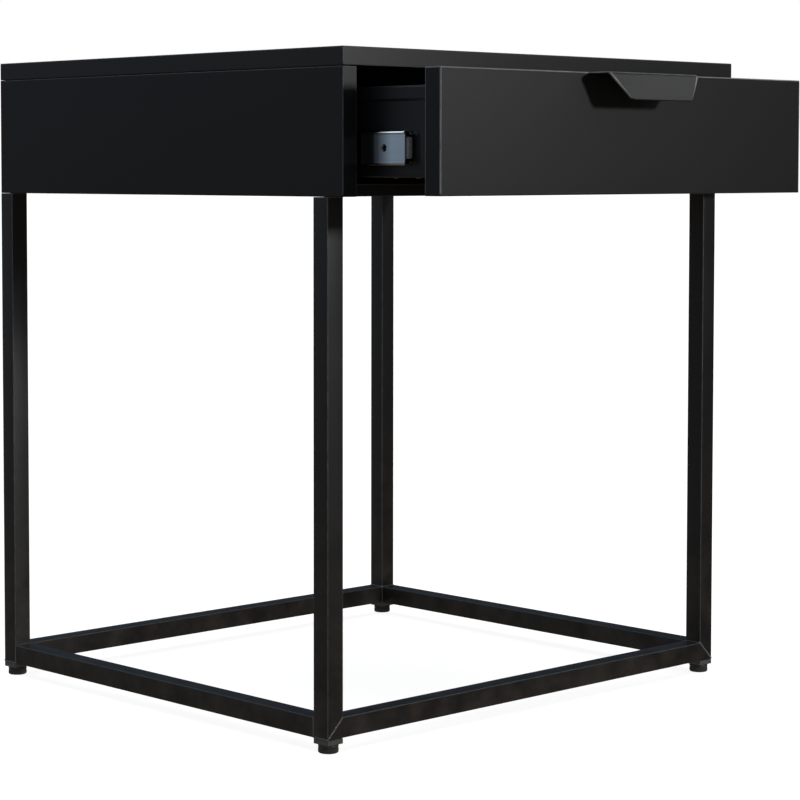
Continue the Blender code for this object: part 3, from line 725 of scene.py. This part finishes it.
class DrawerSettings(bpy.types.PropertyGroup):
    sheet: length("Sheet", "Thickness of the tray's sheet steel", 0.0015)
    bend: length("Bend", "Middle radius of the tray's bends", 0.0012)
    hem_wide: length("Hem width", "How far the rim's hem is folded inwards", 0.0030)
    hem_deep: length("Hem depth", "How far the rim's hem hangs down", 0.0040)
    rivet: length("Rivet radius", "Radius of the rivet heads", 0.0028)
    rivet_rise: length("Rivet rise", "Height of the rivet heads", 0.0012)
    paint: colour("Tray paint", "Colour of the pressed tray", (0.0085, 0.0100, 0.0115))
    gloss: share("Tray roughness", "Roughness of the tray's paint", 0.38)
    pull_thick: length("Pull thickness", "Thickness of the folded pull", 0.0020)
    pull_bend: length("Pull bend", "Inner radius of the pull's fold", 0.0025)
    pull_edge: length("Pull edge", "Rounding of the pull's edges", 0.0006)
    pull_paint: colour("Pull coat", "Colour of the pull", (0.0060,) * 3)
    # painted highlight colour along the pull's fold and slanted edges
    pull_edge_highlight: colour("Pull edges", "Colour of the pull's edges", (0.350,) * 3)
    pull_out: length("Pull reach", "From the drawer front to the pull's fold", 0.0260)
    pull_narrowing: length("Pull narrowing", "How much the lip narrows on each side", 0.0200)
    pull_corner: length("Pull corner", "Radius of the lip's lower corners", 0.0025)
    rim: length("Rim height", "Height of the tray's stepped rim", 0.0120)
    step: length("Rim step", "How far the rim stands out", 0.0018)
    flange: length("Tray flange", "Width of the flange under the tray's sides", 0.0120)


class SlideSettings(bpy.types.PropertyGroup):
    wall: length("Wall", "Thickness of the rolled members", 0.0010)
    zinc: colour("Zinc", "Colour of the plated members", (0.80, 0.87, 0.94))
    gloss: share("Zinc roughness", "Roughness of the plating", 0.13)
    bend: length("Bend", "Middle radius of the members' bends", 0.0016)
    nose: length("Nose", "Radius of the front corners of each web", 0.0035)
    hole: length("Access hole", "Radius of the middle member's access holes", 0.0028)
    sink: length("Access sink", "How much wider the access holes are on the outside", 0.0011)
    hole_back: length("Access setback", "From the middle member's front end to its access hole", 0.0277)
    # lubricant and painted shade: the middle member stays bright for this length from its front end
    grease_and_shade: length("Clean end", "How much of the middle member's front end is free of grease", 0.0180)
    rim: length("Raised rim", "How far the edges of each web stand out", 0.0002)
    pitch: length("Ball pitch", "From one bearing ball to the next", 0.0080)
    strip: length("Ball strip", "Thickness of the plastic that holds the balls", 0.0006)
    buffer_out: length("Buffer reach", "How far the buffers stand out of the inner members", 0.0055)
    buffer_in: length("Buffer root", "How far the buffers reach into the inner members", 0.0100)
    buffer_room: length("Buffer room", "Room above and below the buffers", 0.0020)
    balls: colour("Balls", "Colour of the bearing balls", (0.70, 0.71, 0.72))
    cage: colour("Cages", "Colour of the plastic that holds the balls", (0.018,) * 3)
    # partly the buffers' own pale nylon, partly a painted highlight where little light reaches
    nylon_grey_and_highlight: colour("Nylon", "Colour of the buffers", (0.300, 0.310, 0.340))


class ScrewSettings(bpy.types.PropertyGroup):
    board: length("Board screws", "Shank radius of the screws into the boards", 0.0020)
    slide: length("Slide screws", "Shank radius of the screws through the slides", 0.0018)
    zinc: colour("Screw zinc", "Colour of the plated screws", (0.58, 0.60, 0.62))
    gloss: share("Screw roughness", "Roughness of the screws' plating", 0.28)


def turn(name, description, degrees):
    return FloatProperty(name=name, description=description, default=math.radians(degrees), unit="ROTATION")


class StageSettings(bpy.types.PropertyGroup):
    camera_place: FloatVectorProperty(
        name="Camera",
        description="Where the camera stands",
        default=(-1.8495, -1.8685, 0.5533),
        subtype="XYZ",
    )
    camera_yaw: turn("Yaw", "Turn of the camera", -43.135)
    camera_pitch: turn("Pitch", "Tilt of the camera below level", 3.203)
    camera_lens: FloatProperty(name="Lens", description="Focal length in millimetres", default=110.82)
    camera_shift: FloatVectorProperty(
        name="Shift", description="Sideways and upward shift of the lens", default=(0.0696, -0.1161), size=2
    )


# Operators ----------------


def settings():
    return bpy.context.scene.side_table


class SIDETABLE_OT_boards(bpy.types.Operator):
    """Lacquered boards of the box"""

    bl_idname = "side_table.boards"
    bl_label = "Boards"

    def execute(self, context):
        chosen = settings().boards
        names = {
            "top_panel": "top_board",
            "bottom_panel": "floor_board",
            "back_panel": "rear_board",
            "side_panel_left": "side_board_left",
            "side_panel_right": "side_board_right",
        }
        for node, name in names.items():
            low, high = box_of(node)
            # painted light: the top board takes the paler copy of the board lacquer
            paint = chosen.top_lit_paint if node == "top_panel" else chosen.paint
            paint = lacquer(f"{name}_lacquer", tuple(paint), chosen.gloss, (low, high), chosen.board_edge_highlight)
            board = shell(board_surface(low, high, chosen.edge))
            piece(name, [board], paint, "table", "box_board", weighted=True, replaced=node)
        return {"FINISHED"}


class SIDETABLE_OT_frame(bpy.types.Operator):
    """Square tubes of the frame and the weld beads at their joints"""

    bl_idname = "side_table.frame"
    bl_label = "Steel frame"

    def execute(self, context):
        chosen = settings().tubes
        floor = box_of("rail_front")[0][Z]
        # heights of the dirt and painted floor bounce
        self.dust_and_bounce = (floor, floor + chosen.dust_and_bounce)
        for end, side in CORNERS:
            self.tube(f"leg_{end}_{side}", Z, (X, LEFT_RIGHT[side], 1.0, 0.0), chosen)
            self.corner_welds(end, side, chosen)
            seat = f"foot_seat_{end}_{side}"
            dressed([seat], self.coat(seat, chosen.seat, chosen.gloss, chosen))
        for end in ("front", "back"):
            self.tube(f"rail_{end}", X, (Z, -1, 1.0, 1.0), chosen)
        for side in LEFT_RIGHT:
            self.tube(f"rail_{side}", Y, (Z, -1, 0.0, 0.0), chosen)
        return {"FINISHED"}

    def coat(self, node, paint, gloss, chosen):
        # painted highlight along the tube's edges
        edges = edge_highlight_mask(box_of(node), 0.0008)
        return powder_coat(f"{node}_powder_coat", tuple(paint), gloss, self.dust_and_bounce, chosen.edge, edges)

    def tube(self, node, along, mitres, chosen):
        low, high = box_of(node)
        surface = tube_surface(low, high, along, chosen.wall, chosen.corner, mitres)
        coat = self.coat(node, chosen.paint, chosen.gloss, chosen)
        name = node.replace("_", "_tube_", 1)
        piece(name, [shell(surface, wrap_rows=True)], coat, "table", "frame_steel", 40, replaced=node)

    def corner_welds(self, end, side, chosen):
        """The mitre's bead, round the slanting joint of leg and rail, and the butt bead of the side rail."""
        low, high = box_of(f"leg_{end}_{side}")
        size = high[X] - low[X]
        middle = (low + high) / 2
        ring, outward = square_ring(size, chosen.corner, 6)
        sunk = 0.45 * chosen.bead
        outer = LEFT_RIGHT[side]
        # Round the mitre: as x goes from the outer side to the inner, z climbs by as much.
        x = ring[:, 0]
        path = np.stack([middle[X] + x, middle[Y] + ring[:, 1], low[Z] + size / 2 - outer * x], axis=-1)
        lean = np.stack([outward[:, 0] / 2, outward[:, 1], -outer * outward[:, 0] / 2], axis=-1)
        mitre = self.bead(path, lean, sunk, chosen)
        # Round the side rail where it meets the leg.
        rail_low, rail_high = box_of(f"rail_{side}")
        y = rail_low[Y] if end == "front" else rail_high[Y]
        centre_z = (rail_low[Z] + rail_high[Z]) / 2
        path = np.stack([middle[X] + ring[:, 0], np.full(len(ring), y), centre_z + ring[:, 1]], axis=-1)
        lean = np.stack([outward[:, 0], np.zeros(len(ring)), outward[:, 1]], axis=-1)
        butt = self.bead(path, lean, sunk, chosen)
        edges = edge_highlight_mask(box_of(f"leg_{end}_{side}"))
        # painted highlight: a pale coat on the beads paints the bright line along each joint
        name = f"weld_{end}_{side}_coat"
        coat = powder_coat(name, tuple(chosen.weld), 0.30, self.dust_and_bounce, chosen.weld, edges)
        piece(f"weld_{end}_{side}", [mitre, butt], coat, "table", "frame_steel", 60)

    def bead(self, path, lean, sunk, chosen):
        lean = lean / np.linalg.norm(lean, axis=1)[:, None]
        path, lean = resampled(path, lean, spacing=chosen.ripple / 4)
        lean = lean / np.linalg.norm(lean, axis=1)[:, None]
        surface = bead_surface(path - sunk * lean, lean, chosen.bead, chosen.ripple)
        return shell(surface, wrap_rows=True)


class SIDETABLE_OT_feet(bpy.types.Operator):
    """Levelling feet with grip ribs"""

    bl_idname = "side_table.feet"
    bl_label = "Levelling feet"

    def execute(self, context):
        chosen = settings().feet
        plastic = moulded_plastic("foot_plastic", tuple(chosen.paint), 0.40)
        for end, side in CORNERS:
            node = f"levelling_foot_{end}_{side}"
            low, high = box_of(node)
            centre, radius = (low + high) / 2, (high[X] - low[X]) / 2
            top = box_of(f"foot_seat_{end}_{side}")[0][Z] - CLEARANCE
            # The rounded top edge, the groove round the pad and its rounded sole, as radius and height.
            brim = (radius - chosen.brim, top - chosen.brim) + circle(quarter(4), chosen.brim)[:, ::-1]
            sole = (radius - chosen.sole, chosen.sole) + circle(quarter(4), chosen.sole) * (1, -1)
            inner = radius - 0.0005
            groove = [(radius, 0.0060), (inner, 0.0056), (inner, 0.0050), (radius, 0.0046)]
            profile = np.concatenate([brim, groove, sole])
            pad = turned_surface(profile, 96, chosen.rib_share, chosen.ribs)
            stem = turned_surface([(chosen.stem, high[Z]), (chosen.stem, top - 0.001)], 24)
            offset = (centre[X], centre[Y], 0.0)
            shells = [shell(pad + offset), shell(stem + offset)]
            body = f"foot_{end}_{side}"
            piece(f"foot_pad_{end}_{side}", shells, plastic, body, "black_plastic", 50, replaced=node)
        return {"FINISHED"}


class SIDETABLE_OT_drawer_front(bpy.types.Operator):
    """Drawer front with the recess for its pull"""

    bl_idname = "side_table.drawer_front"
    bl_label = "Drawer front"

    def execute(self, context):
        chosen = settings().boards
        low, high = box_of("drawer_front")
        pull_low, pull_high = box_of("drawer_pull")
        half = (pull_high[X] - pull_low[X]) / 2 + CLEARANCE
        notch = (half, settings().drawer.pull_thick + CLEARANCE, pull_high[Y] + CLEARANCE)
        paint = tuple(chosen.face_paint)
        paint = lacquer("drawer_front_lacquer", paint, chosen.face_gloss, (low, high), chosen.face_edge_highlight)
        face = shell(board_surface(low, high, chosen.edge, notch=notch))
        piece("drawer_face", [face], paint, "drawer", "front_board", weighted=True, replaced="drawer_front")
        return {"FINISHED"}


class SIDETABLE_OT_tray(bpy.types.Operator):
    """Pressed drawer tray: rolled sides, back, floor and the rivets below"""

    bl_idname = "side_table.tray"
    bl_label = "Drawer tray"

    def execute(self, context):
        chosen = settings().drawer
        paint = sheet_paint("tray_paint", tuple(chosen.paint), chosen.gloss)
        for side, sign in LEFT_RIGHT.items():
            self.side(side, sign, paint, chosen)
        for node, name in (("drawer_floor", "tray_floor"), ("drawer_back", "tray_back")):
            low, high = box_of(node)
            surface = board_surface(low, high, 0.25 * chosen.sheet, steps=3)
            piece(name, [shell(surface)], paint, "drawer", "tray_steel", weighted=True, replaced=node)
        return {"FINISHED"}

    def side(self, side, sign, paint, chosen):
        """A strip bent from the flange under the floor up the wall, out at the rim and down its hem, with a
        flange across its front end."""
        node = f"drawer_side_{side}"
        low, high = box_of(node)
        near, far = distances(low, high)
        rim = far - chosen.sheet / 2
        wall = rim - chosen.step
        bottom, top = low[Z] + chosen.sheet / 2, high[Z] - chosen.sheet / 2
        jog = high[Z] - chosen.rim
        hem = rim - chosen.hem_wide
        corners = [(wall - chosen.flange, bottom), (wall, bottom), (wall, jog - chosen.step), (rim, jog)]
        corners += [(rim, top), (hem, top), (hem, top - chosen.hem_deep)]
        outline = strip(corners, chosen.bend, chosen.sheet) * (sign, 1.0)
        wrap = shell(along_y(outline, (low[Y], high[Y])))
        ends = sorted((sign * near, sign * (wall - 0.0002)))
        flange_low = np.array([ends[0], low[Y], low[Z] + 0.0002])
        flange_high = np.array([ends[1], low[Y] + chosen.sheet, jog])
        shells = [wrap, shell(board_surface(flange_low, flange_high, INNER_CORNER, steps=3))]
        steel = "drawer", "tray_steel"
        piece(f"tray_side_{side}", shells, paint, *steel, 30, weighted=True, replaced=node)
        # Rivets along the flange below, their heads domed as a quarter ellipse.
        dome = circle(quarter(5)) * (chosen.rivet, -chosen.rivet_rise)
        head = shell(turned_surface(np.concatenate([[(chosen.rivet, 0.0004)], dome]), 20))
        offsets = [(sign * (wall - chosen.flange / 2), low[Y] + place, low[Z]) for place in RIVETS]
        piece(f"tray_rivets_{side}", [repeated(head, offsets)], paint, *steel, 40)


class SIDETABLE_OT_pull(bpy.types.Operator):
    """Folded edge pull"""

    bl_idname = "side_table.pull"
    bl_label = "Edge pull"

    def execute(self, context):
        chosen = settings().drawer
        low, high = box_of("drawer_pull")
        face = box_of("drawer_front")[0][Y]
        fold = face - chosen.pull_out
        lean, drop = fold - low[Y], high[Z] - low[Z]
        surface = self.surface(high, fold, lean, drop, chosen)
        paint = tuple(chosen.pull_paint)
        half = (high[X] - low[X]) / 2
        narrowing = chosen.pull_narrowing / drop
        fold_box = np.array([low[X], fold + 0.0003, low[Z]]), high + (0.0, 0.1, 0.0)

        # painted highlight: the pull's fold line and the slanted sides of its lip
        def highlight_mask(shading):
            x, y, z = shading.axes(shading.place())
            side = abs(x - float(low[X] + half)) + (float(high[Z]) - z) * narrowing - float(half)
            front = 1.0 - y.between(fold + 0.002, fold + 0.004)
            return edge_highlight_mask(fold_box)(shading).higher(side.between(-0.0007, -0.0003) * front)

        coat = powder_coat("pull_powder_coat", paint, 0.40, (0.0, 0.01), chosen.pull_edge_highlight, highlight_mask)
        steel = "drawer", "pull_steel"
        piece("edge_pull", [shell(surface)], coat, *steel, 40, weighted=True, replaced="drawer_pull")
        return {"FINISHED"}

    def surface(self, high, fold, lean, drop, chosen):
        """A flat rounded section carried forwards, round an arc and down the lip. Over the lip its half width
        falls in a straight line, then as a quarter circle at the corners; at both ends it also draws in by
        one less the cosine of an angle, which rounds the edge."""
        thick, edge, corner = chosen.pull_thick, chosen.pull_edge, chosen.pull_corner
        turn = math.atan2(drop, lean)
        radius = chosen.pull_bend + thick / 2
        tangent = (chosen.pull_bend + thick) * math.tan(turn / 2)
        half = (high[X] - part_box("drawer_pull")[0][X]) / 2
        centre_y, centre_z = fold + tangent, high[Z] - thick / 2 - radius
        rounding = quarter(4)
        lip = math.hypot(lean, drop)
        # Each station is its place, its angle, its half width and how far it draws in.
        level = high[Z] - thick / 2
        path = []
        for a in rounding:
            path.append((high[Y] - edge * (1 - math.cos(a)), level, 0.0, half, edge * (1 - math.sin(a))))
        for a in np.linspace(0.0, turn, 9):
            path.append((centre_y - radius * math.sin(a), centre_z + radius * math.cos(a), a, half, 0.0))
        sunk = (thick / 2) * np.array([math.sin(turn), -math.cos(turn)])
        ahead = np.array([-math.cos(turn), -math.sin(turn)])
        origin = np.array([fold, high[Z]])
        for a in quarter(6):
            run = lip - edge - corner * (1 - math.sin(a))
            width = half - chosen.pull_narrowing * run / lip - corner * (1 - math.cos(a))
            y, z = origin + run * ahead + sunk
            path.append((y, z, turn, width, 0.0))
        for a in rounding[1:]:
            run = lip - edge * (1 - math.sin(a))
            y, z = origin + run * ahead + sunk
            path.append((y, z, turn, width, edge * (1 - math.cos(a))))
        y, z, angle, width, inset = np.array(path).T[..., None]
        angles, signs = quarter_turns(4)
        across = signs[:, 0] * (width - edge) + (edge - inset) * np.cos(angles)
        through = signs[:, 1] * (thick / 2 - edge) + (edge - inset) * np.sin(angles)
        along = y - through * np.sin(angle)
        height = z + through * np.cos(angle)
        return np.stack([across, along, height], axis=-1)


class SIDETABLE_OT_slides(bpy.types.Operator):
    """Telescopic slides: rolled members, ball cages and balls"""

    bl_idname = "side_table.slides"
    bl_label = "Slides"

    def execute(self, context):
        chosen = settings().slides
        zinc = rolled_zinc("slide_zinc", tuple(chosen.zinc), chosen.gloss)
        end = box_of("slide_middle_left")[0][Y]
        # lubricant and painted shade darken the middle members from here back
        greased_and_shaded = (end + chosen.grease_and_shade, end + 2 * chosen.grease_and_shade)
        greased_and_shaded_zinc = rolled_zinc("middle_slide_zinc", tuple(chosen.zinc), chosen.gloss, grease_and_shade=greased_and_shaded)
        bright = rolled_zinc("ball_steel", tuple(chosen.balls), 0.10)
        plastic = moulded_plastic("cage_plastic", tuple(chosen.cage), 0.5)
        # the buffers' pale nylon, partly a painted highlight
        nylon_grey_and_highlight = moulded_plastic("buffer_nylon", tuple(chosen.nylon_grey_and_highlight), 0.4)
        for side, sign in LEFT_RIGHT.items():
            self.member("outer", side, sign, 1, "table", zinc, chosen)
            self.member("middle", side, sign, 1, f"slide_middle_{side}", greased_and_shaded_zinc, chosen, holes=True)
            self.member("inner", side, sign, -1, "drawer", zinc, chosen)
            for layer in ("outer", "inner"):
                self.cage(layer, side, sign, plastic, bright, chosen)
            self.buffer(side, sign, nylon_grey_and_highlight, chosen)
        return {"FINISHED"}

    def member(self, layer, side, sign, way, body, zinc, chosen, holes=False):
        """A strip bent into a web between two raised rims, with a lip at the top and bottom. The web is on
        the outward side where way is 1, and on the tray's where it is -1."""
        node = f"slide_{layer}_{side}"
        low, high = box_of(node)
        level, half = halved(low, high)
        near, far = distances(low, high)
        web, tip = (far - chosen.wall / 2, near) if way > 0 else (near + chosen.wall / 2, far)
        rim = half - chosen.wall / 2
        edge = web + way * chosen.rim
        upper = [(tip, rim), (edge, rim), (edge, rim - RIM_DEEP), (web, rim - RIM_END), (web, WINDOW)]
        corners = upper + [(x, -z) for x, z in upper[::-1]]
        outline = strip(corners, chosen.bend, chosen.wall)
        count = len(outline) // 2
        outline = (outline + (0.0, level)) * (sign, 1.0)
        first_hole = low[Y] + chosen.hole_back
        places = [first_hole, first_hole + (high[Y] - low[Y]) / 2] if holes else []
        stops = [place + step for place in places for step in (-WINDOW, WINDOW)]
        surface = rolled_member(outline, low[Y], high[Y], level, chosen.nose, stops)
        # Leave out the web's quads in each window, on both of its faces, and put a holed square there.
        skip = np.zeros((surface.shape[0] - 1, surface.shape[1]), bool)
        column = int(np.argmin(abs(outline[:count, 1] - level - WINDOW)))
        for place in places:
            row = int(np.argmin(abs(surface[:, 0, Y] - place + WINDOW)))
            skip[row, column] = skip[row, 2 * count - 2 - column] = True
        near_face = sign * (web + chosen.wall / 2), chosen.hole + chosen.sink
        far_face = sign * (web - chosen.wall / 2), chosen.hole - 0.0002
        shells = [shell(surface, skip=skip)]
        shells += [hole_shell(near_face, far_face, place, level, WINDOW) for place in places]
        name = f"slide_rail_{layer}_{side}"
        piece(name, shells, zinc, body, "zinc_steel", 35, weighted=True, replaced=node)

    def cage(self, layer, side, sign, plastic, bright, chosen):
        """A bent plastic strip between two members, and rows of balls along its upper and lower edges."""
        node, body = f"ball_cage_{layer}_{side}", f"{layer}_cage_{side}"
        low, high = box_of(node)
        level, half = halved(low, high)
        near, far = distances(low, high)
        held = halved(*box_of(f"slide_{HELD_BY[layer]}_{side}"))[1]
        arm, radius = (half + held) / 2, (half - held) / 2
        back = far - chosen.strip / 2
        corners = [(near + chosen.strip, arm), (back, arm), (back, -arm), (near + chosen.strip, -arm)]
        outline = (strip(corners, 0.0008, chosen.strip) + (0.0, level)) * (sign, 1.0)
        surface = rolled_member(outline, low[Y], high[Y], level, 0.0020)
        strips = [shell(surface)]
        piece(f"ball_strip_{layer}_{side}", strips, plastic, body, "black_plastic", 35, replaced=node)
        ball = shell(turned_surface(circle(np.linspace(-np.pi / 2, np.pi / 2, 7), radius), 8), caps=False)
        count = int((high[Y] - low[Y] - chosen.pitch) / chosen.pitch)
        along = (low[Y] + high[Y]) / 2 + (np.arange(count) - (count - 1) / 2) * chosen.pitch
        offsets = [(sign * (near + far) / 2, y, level + row * arm) for y in along for row in (-1, 1)]
        piece(f"bearing_balls_{layer}_{side}", [repeated(ball, offsets)], bright, body, "zinc_steel")

    def buffer(self, side, sign, plastic, chosen):
        """A rounded plastic end piece, pressed into the front end of the inner member."""
        low, high = box_of(f"slide_inner_{side}")
        near, far = distances(low, high)
        ends = sorted((sign * (near + 0.0011), sign * (far - 0.0002)))
        start = np.array([ends[0], low[Y] - chosen.buffer_out, low[Z] + chosen.buffer_room])
        end = np.array([ends[1], low[Y] + chosen.buffer_in, high[Z] - chosen.buffer_room])
        surface = board_surface(start, end, 0.0020, steps=4)
        piece(f"slide_buffer_{side}", [shell(surface)], plastic, "drawer", "black_plastic", weighted=True)


class SIDETABLE_OT_screws(bpy.types.Operator):
    """Screws with cross recesses and threads"""

    bl_idname = "side_table.screws"
    bl_label = "Screws"

    def execute(self, context):
        chosen = settings().screws
        zinc = rolled_zinc("screw_zinc", tuple(chosen.zinc), chosen.gloss, Z)
        for side, sign in LEFT_RIGHT.items():
            self.screw(f"pull_screw_{side}", Z, 1, chosen.board, "drawer", True, zinc)
            for number in (1, 2):
                self.screw(f"front_screw_{side}_{number}", Y, 1, chosen.board, "drawer", False, zinc)
                self.screw(f"inner_screw_{side}_{number}", X, sign, chosen.slide, "drawer", False, zinc)
                self.screw(f"outer_screw_{side}_{number}", X, -sign, chosen.slide, "table", True, zinc)
        for kind in ("plug", "stud"):
            dressed([f"leg_{kind}_{end}_{side}" for end, side in CORNERS], zinc)
        return {"FINISHED"}

    def screw(self, node, axis, way, shank, body, countersunk, zinc):
        """A screw along an axis, with its head towards way."""
        low, high = box_of(node)
        centre = (low + high) / 2
        head = (high[(axis + 1) % 3] - low[(axis + 1) % 3]) / 2
        length = high[axis] - low[axis]
        proud = 0.0002 if countersunk else 0.55 * head
        sink = head - shank if countersunk else 0.0
        surface = screw_surface(shank, head, length - proud - sink, proud, sink)
        points = pointed(surface, axis, way)
        origin = centre.copy()
        origin[axis] = (high[axis] if way > 0 else low[axis]) - way * proud
        name = node.replace("screw", "fixing_screw")
        piece(name, [shell(points + origin)], zinc, body, "zinc_steel", 40, replaced=node)


class SIDETABLE_OT_stage(bpy.types.Operator):
    """Floor, lights, surroundings and camera"""

    bl_idname = "side_table.stage"
    bl_label = "Studio"

    def execute(self, context):
        self.floor()
        self.surroundings()
        self.lights()
        self.camera()
        context.scene.view_settings.view_transform = "Standard"
        return {"FINISHED"}

    def floor(self):
        mesh = bpy.data.meshes.new("studio_floor")
        corners = [(x * 40.0, y * 40.0, -0.0002) for x, y in ((-1, -1), (1, -1), (1, 1), (-1, 1))]
        mesh.from_pydata(corners, [], [(0, 1, 2, 3)])

        def build(shading):
            cloud = shading.noise(0.8, 2.0)
            return {
                "Base Color": shading.mix(cloud, (0.17,) * 3, (0.19,) * 3),
                "Roughness": 0.9,
                "Specular IOR Level": 0.0,
                "Emission Color": (0.92,) * 3,
                "Emission Strength": 1.0,
            }

        mesh.materials.append(finished("studio_floor_paint", build))
        floor = added("studio_floor", mesh)
        floor.visible_glossy = False
        floor.visible_diffuse = False
        receivers = bpy.data.collections.new("floor_only")
        receivers.objects.link(floor)
        light = self.light("floor_light", "SUN", (0, 0, 4), (0, 0, 0), 3.5)
        light.data.angle = math.radians(70)
        light.light_linking.receiver_collection = receivers

    def light(self, name, kind, place, target, energy, size=None, tint=(1, 1, 1)):
        data = bpy.data.lights.new(name, kind)
        data.energy = energy
        data.color = tint
        if size:
            data.shape = "RECTANGLE"
            data.size, data.size_y = size
        obj = added(name, data)
        obj.location = place
        obj.rotation_euler = (Vector(place) - Vector(target)).to_track_quat("Z", "Y").to_euler()
        return obj

    def lights(self):
        window, sky = (0.9, 0.96, 1.0), (0.85, 0.93, 1.0)
        self.light("key", "AREA", (0.455, -1.49, 0.865), (0, -0.30, 0.5), 6.2, (0.12, 0.12))
        self.light("overhead", "AREA", (0.0, 0.2, 2.4), (0, 0.05, 0), 8.0, (1.6, 1.6), sky)
        self.light("camera_side", "AREA", (-2.0, -2.5, 0.95), (0, 0, 0.4), 4.0, (0.5, 0.6))
        self.light("right_high", "AREA", (2.2, -1.35, 2.0), (0.0, -0.2, 0.6), 3.0, (0.7, 0.7))
        self.light("left_back", "AREA", (-1.9, 2.3, 2.2), (0, 0, 0.5), 4.0, (0.9, 0.9), window)
        spot = self.light("left_leg_spot", "SPOT", (0.5, -1.9, 0.5), (-0.2785, 0.3335, 0.20), 20.0)
        spot.data.spot_size = math.radians(12.0)
        spot.data.spot_blend = 0.9
        spot.data.shadow_soft_size = 0.05

    def surroundings(self):
        world = bpy.data.worlds.new("studio")
        bpy.context.scene.world = world
        shading = Shading(world)
        direction = shading.node("ShaderNodeTexCoord", out=0)
        x, y, z = shading.axes(direction)
        leftward = (x * -0.68 + y * 0.73) * 0.5 + 0.5
        sky = shading.mix(leftward ** 2.0, (0.02, 0.035, 0.06), (0.17, 0.215, 0.265))
        near_ground = shading.mix(z.between(-0.24, -0.12), (0.17, 0.145, 0.125), (0.01,) * 3)
        ground = shading.mix(leftward ** 2.0, near_ground, (0.13, 0.105, 0.08))
        frontward = (x * 0.68 - y * 0.73).higher(0.0) ** 2.0
        sky = shading.mix(frontward, sky, (0.10,) * 3)
        around = shading.mix(z.between(-0.10, 0.02), ground, sky)
        seen = shading.node("ShaderNodeLightPath", out=0)
        shown = shading.mix(seen, around, (1.0,) * 3)
        background = shading.node("ShaderNodeBackground", sockets={"Color": shown, "Strength": 1.0})
        shading.output("ShaderNodeOutputWorld", background)

    def camera(self):
        chosen = settings().stage
        data = bpy.data.cameras.new("studio_camera")
        data.lens = chosen.camera_lens
        data.sensor_width = 36.0
        data.shift_x, data.shift_y = chosen.camera_shift
        data.clip_end = 200.0
        camera = added("studio_camera", data)
        camera.location = chosen.camera_place
        camera.rotation_euler = (math.pi / 2 - chosen.camera_pitch, 0.0, chosen.camera_yaw)
        bpy.context.scene.camera = camera


class SideTableSettings(bpy.types.PropertyGroup):
    boards: PointerProperty(type=BoardSettings)
    tubes: PointerProperty(type=TubeSettings)
    feet: PointerProperty(type=FootSettings)
    drawer: PointerProperty(type=DrawerSettings)
    slides: PointerProperty(type=SlideSettings)
    screws: PointerProperty(type=ScrewSettings)
    stage: PointerProperty(type=StageSettings)


BUILDERS = (
    SIDETABLE_OT_boards,
    SIDETABLE_OT_frame,
    SIDETABLE_OT_feet,
    SIDETABLE_OT_drawer_front,
    SIDETABLE_OT_tray,
    SIDETABLE_OT_pull,
    SIDETABLE_OT_slides,
    SIDETABLE_OT_screws,
    SIDETABLE_OT_stage,
)


class SIDETABLE_PT_parts(bpy.types.Panel):
    """Lists the builders of the side table"""

    bl_idname = "SIDETABLE_PT_parts"
    bl_label = "Side Table"
    bl_space_type = "VIEW_3D"
    bl_region_type = "UI"
    bl_category = "Side Table"

    def draw(self, context):
        for builder in BUILDERS:
            self.layout.operator(builder.bl_idname)


PIECES = (BoardSettings, TubeSettings, FootSettings, DrawerSettings, SlideSettings, ScrewSettings)
CLASSES = (*PIECES, StageSettings, SideTableSettings, *BUILDERS, SIDETABLE_PT_parts)


def register():
    for kind in CLASSES:
        bpy.utils.register_class(kind)
    bpy.types.Scene.side_table = PointerProperty(type=SideTableSettings)


def unregister():
    del bpy.types.Scene.side_table
    for kind in reversed(CLASSES):
        bpy.utils.unregister_class(kind)


def main():
    register()
    for builder in BUILDERS:
        area, name = builder.bl_idname.split(".")
        getattr(getattr(bpy.ops, area), name)()


if __name__ == "__main__":
    main()
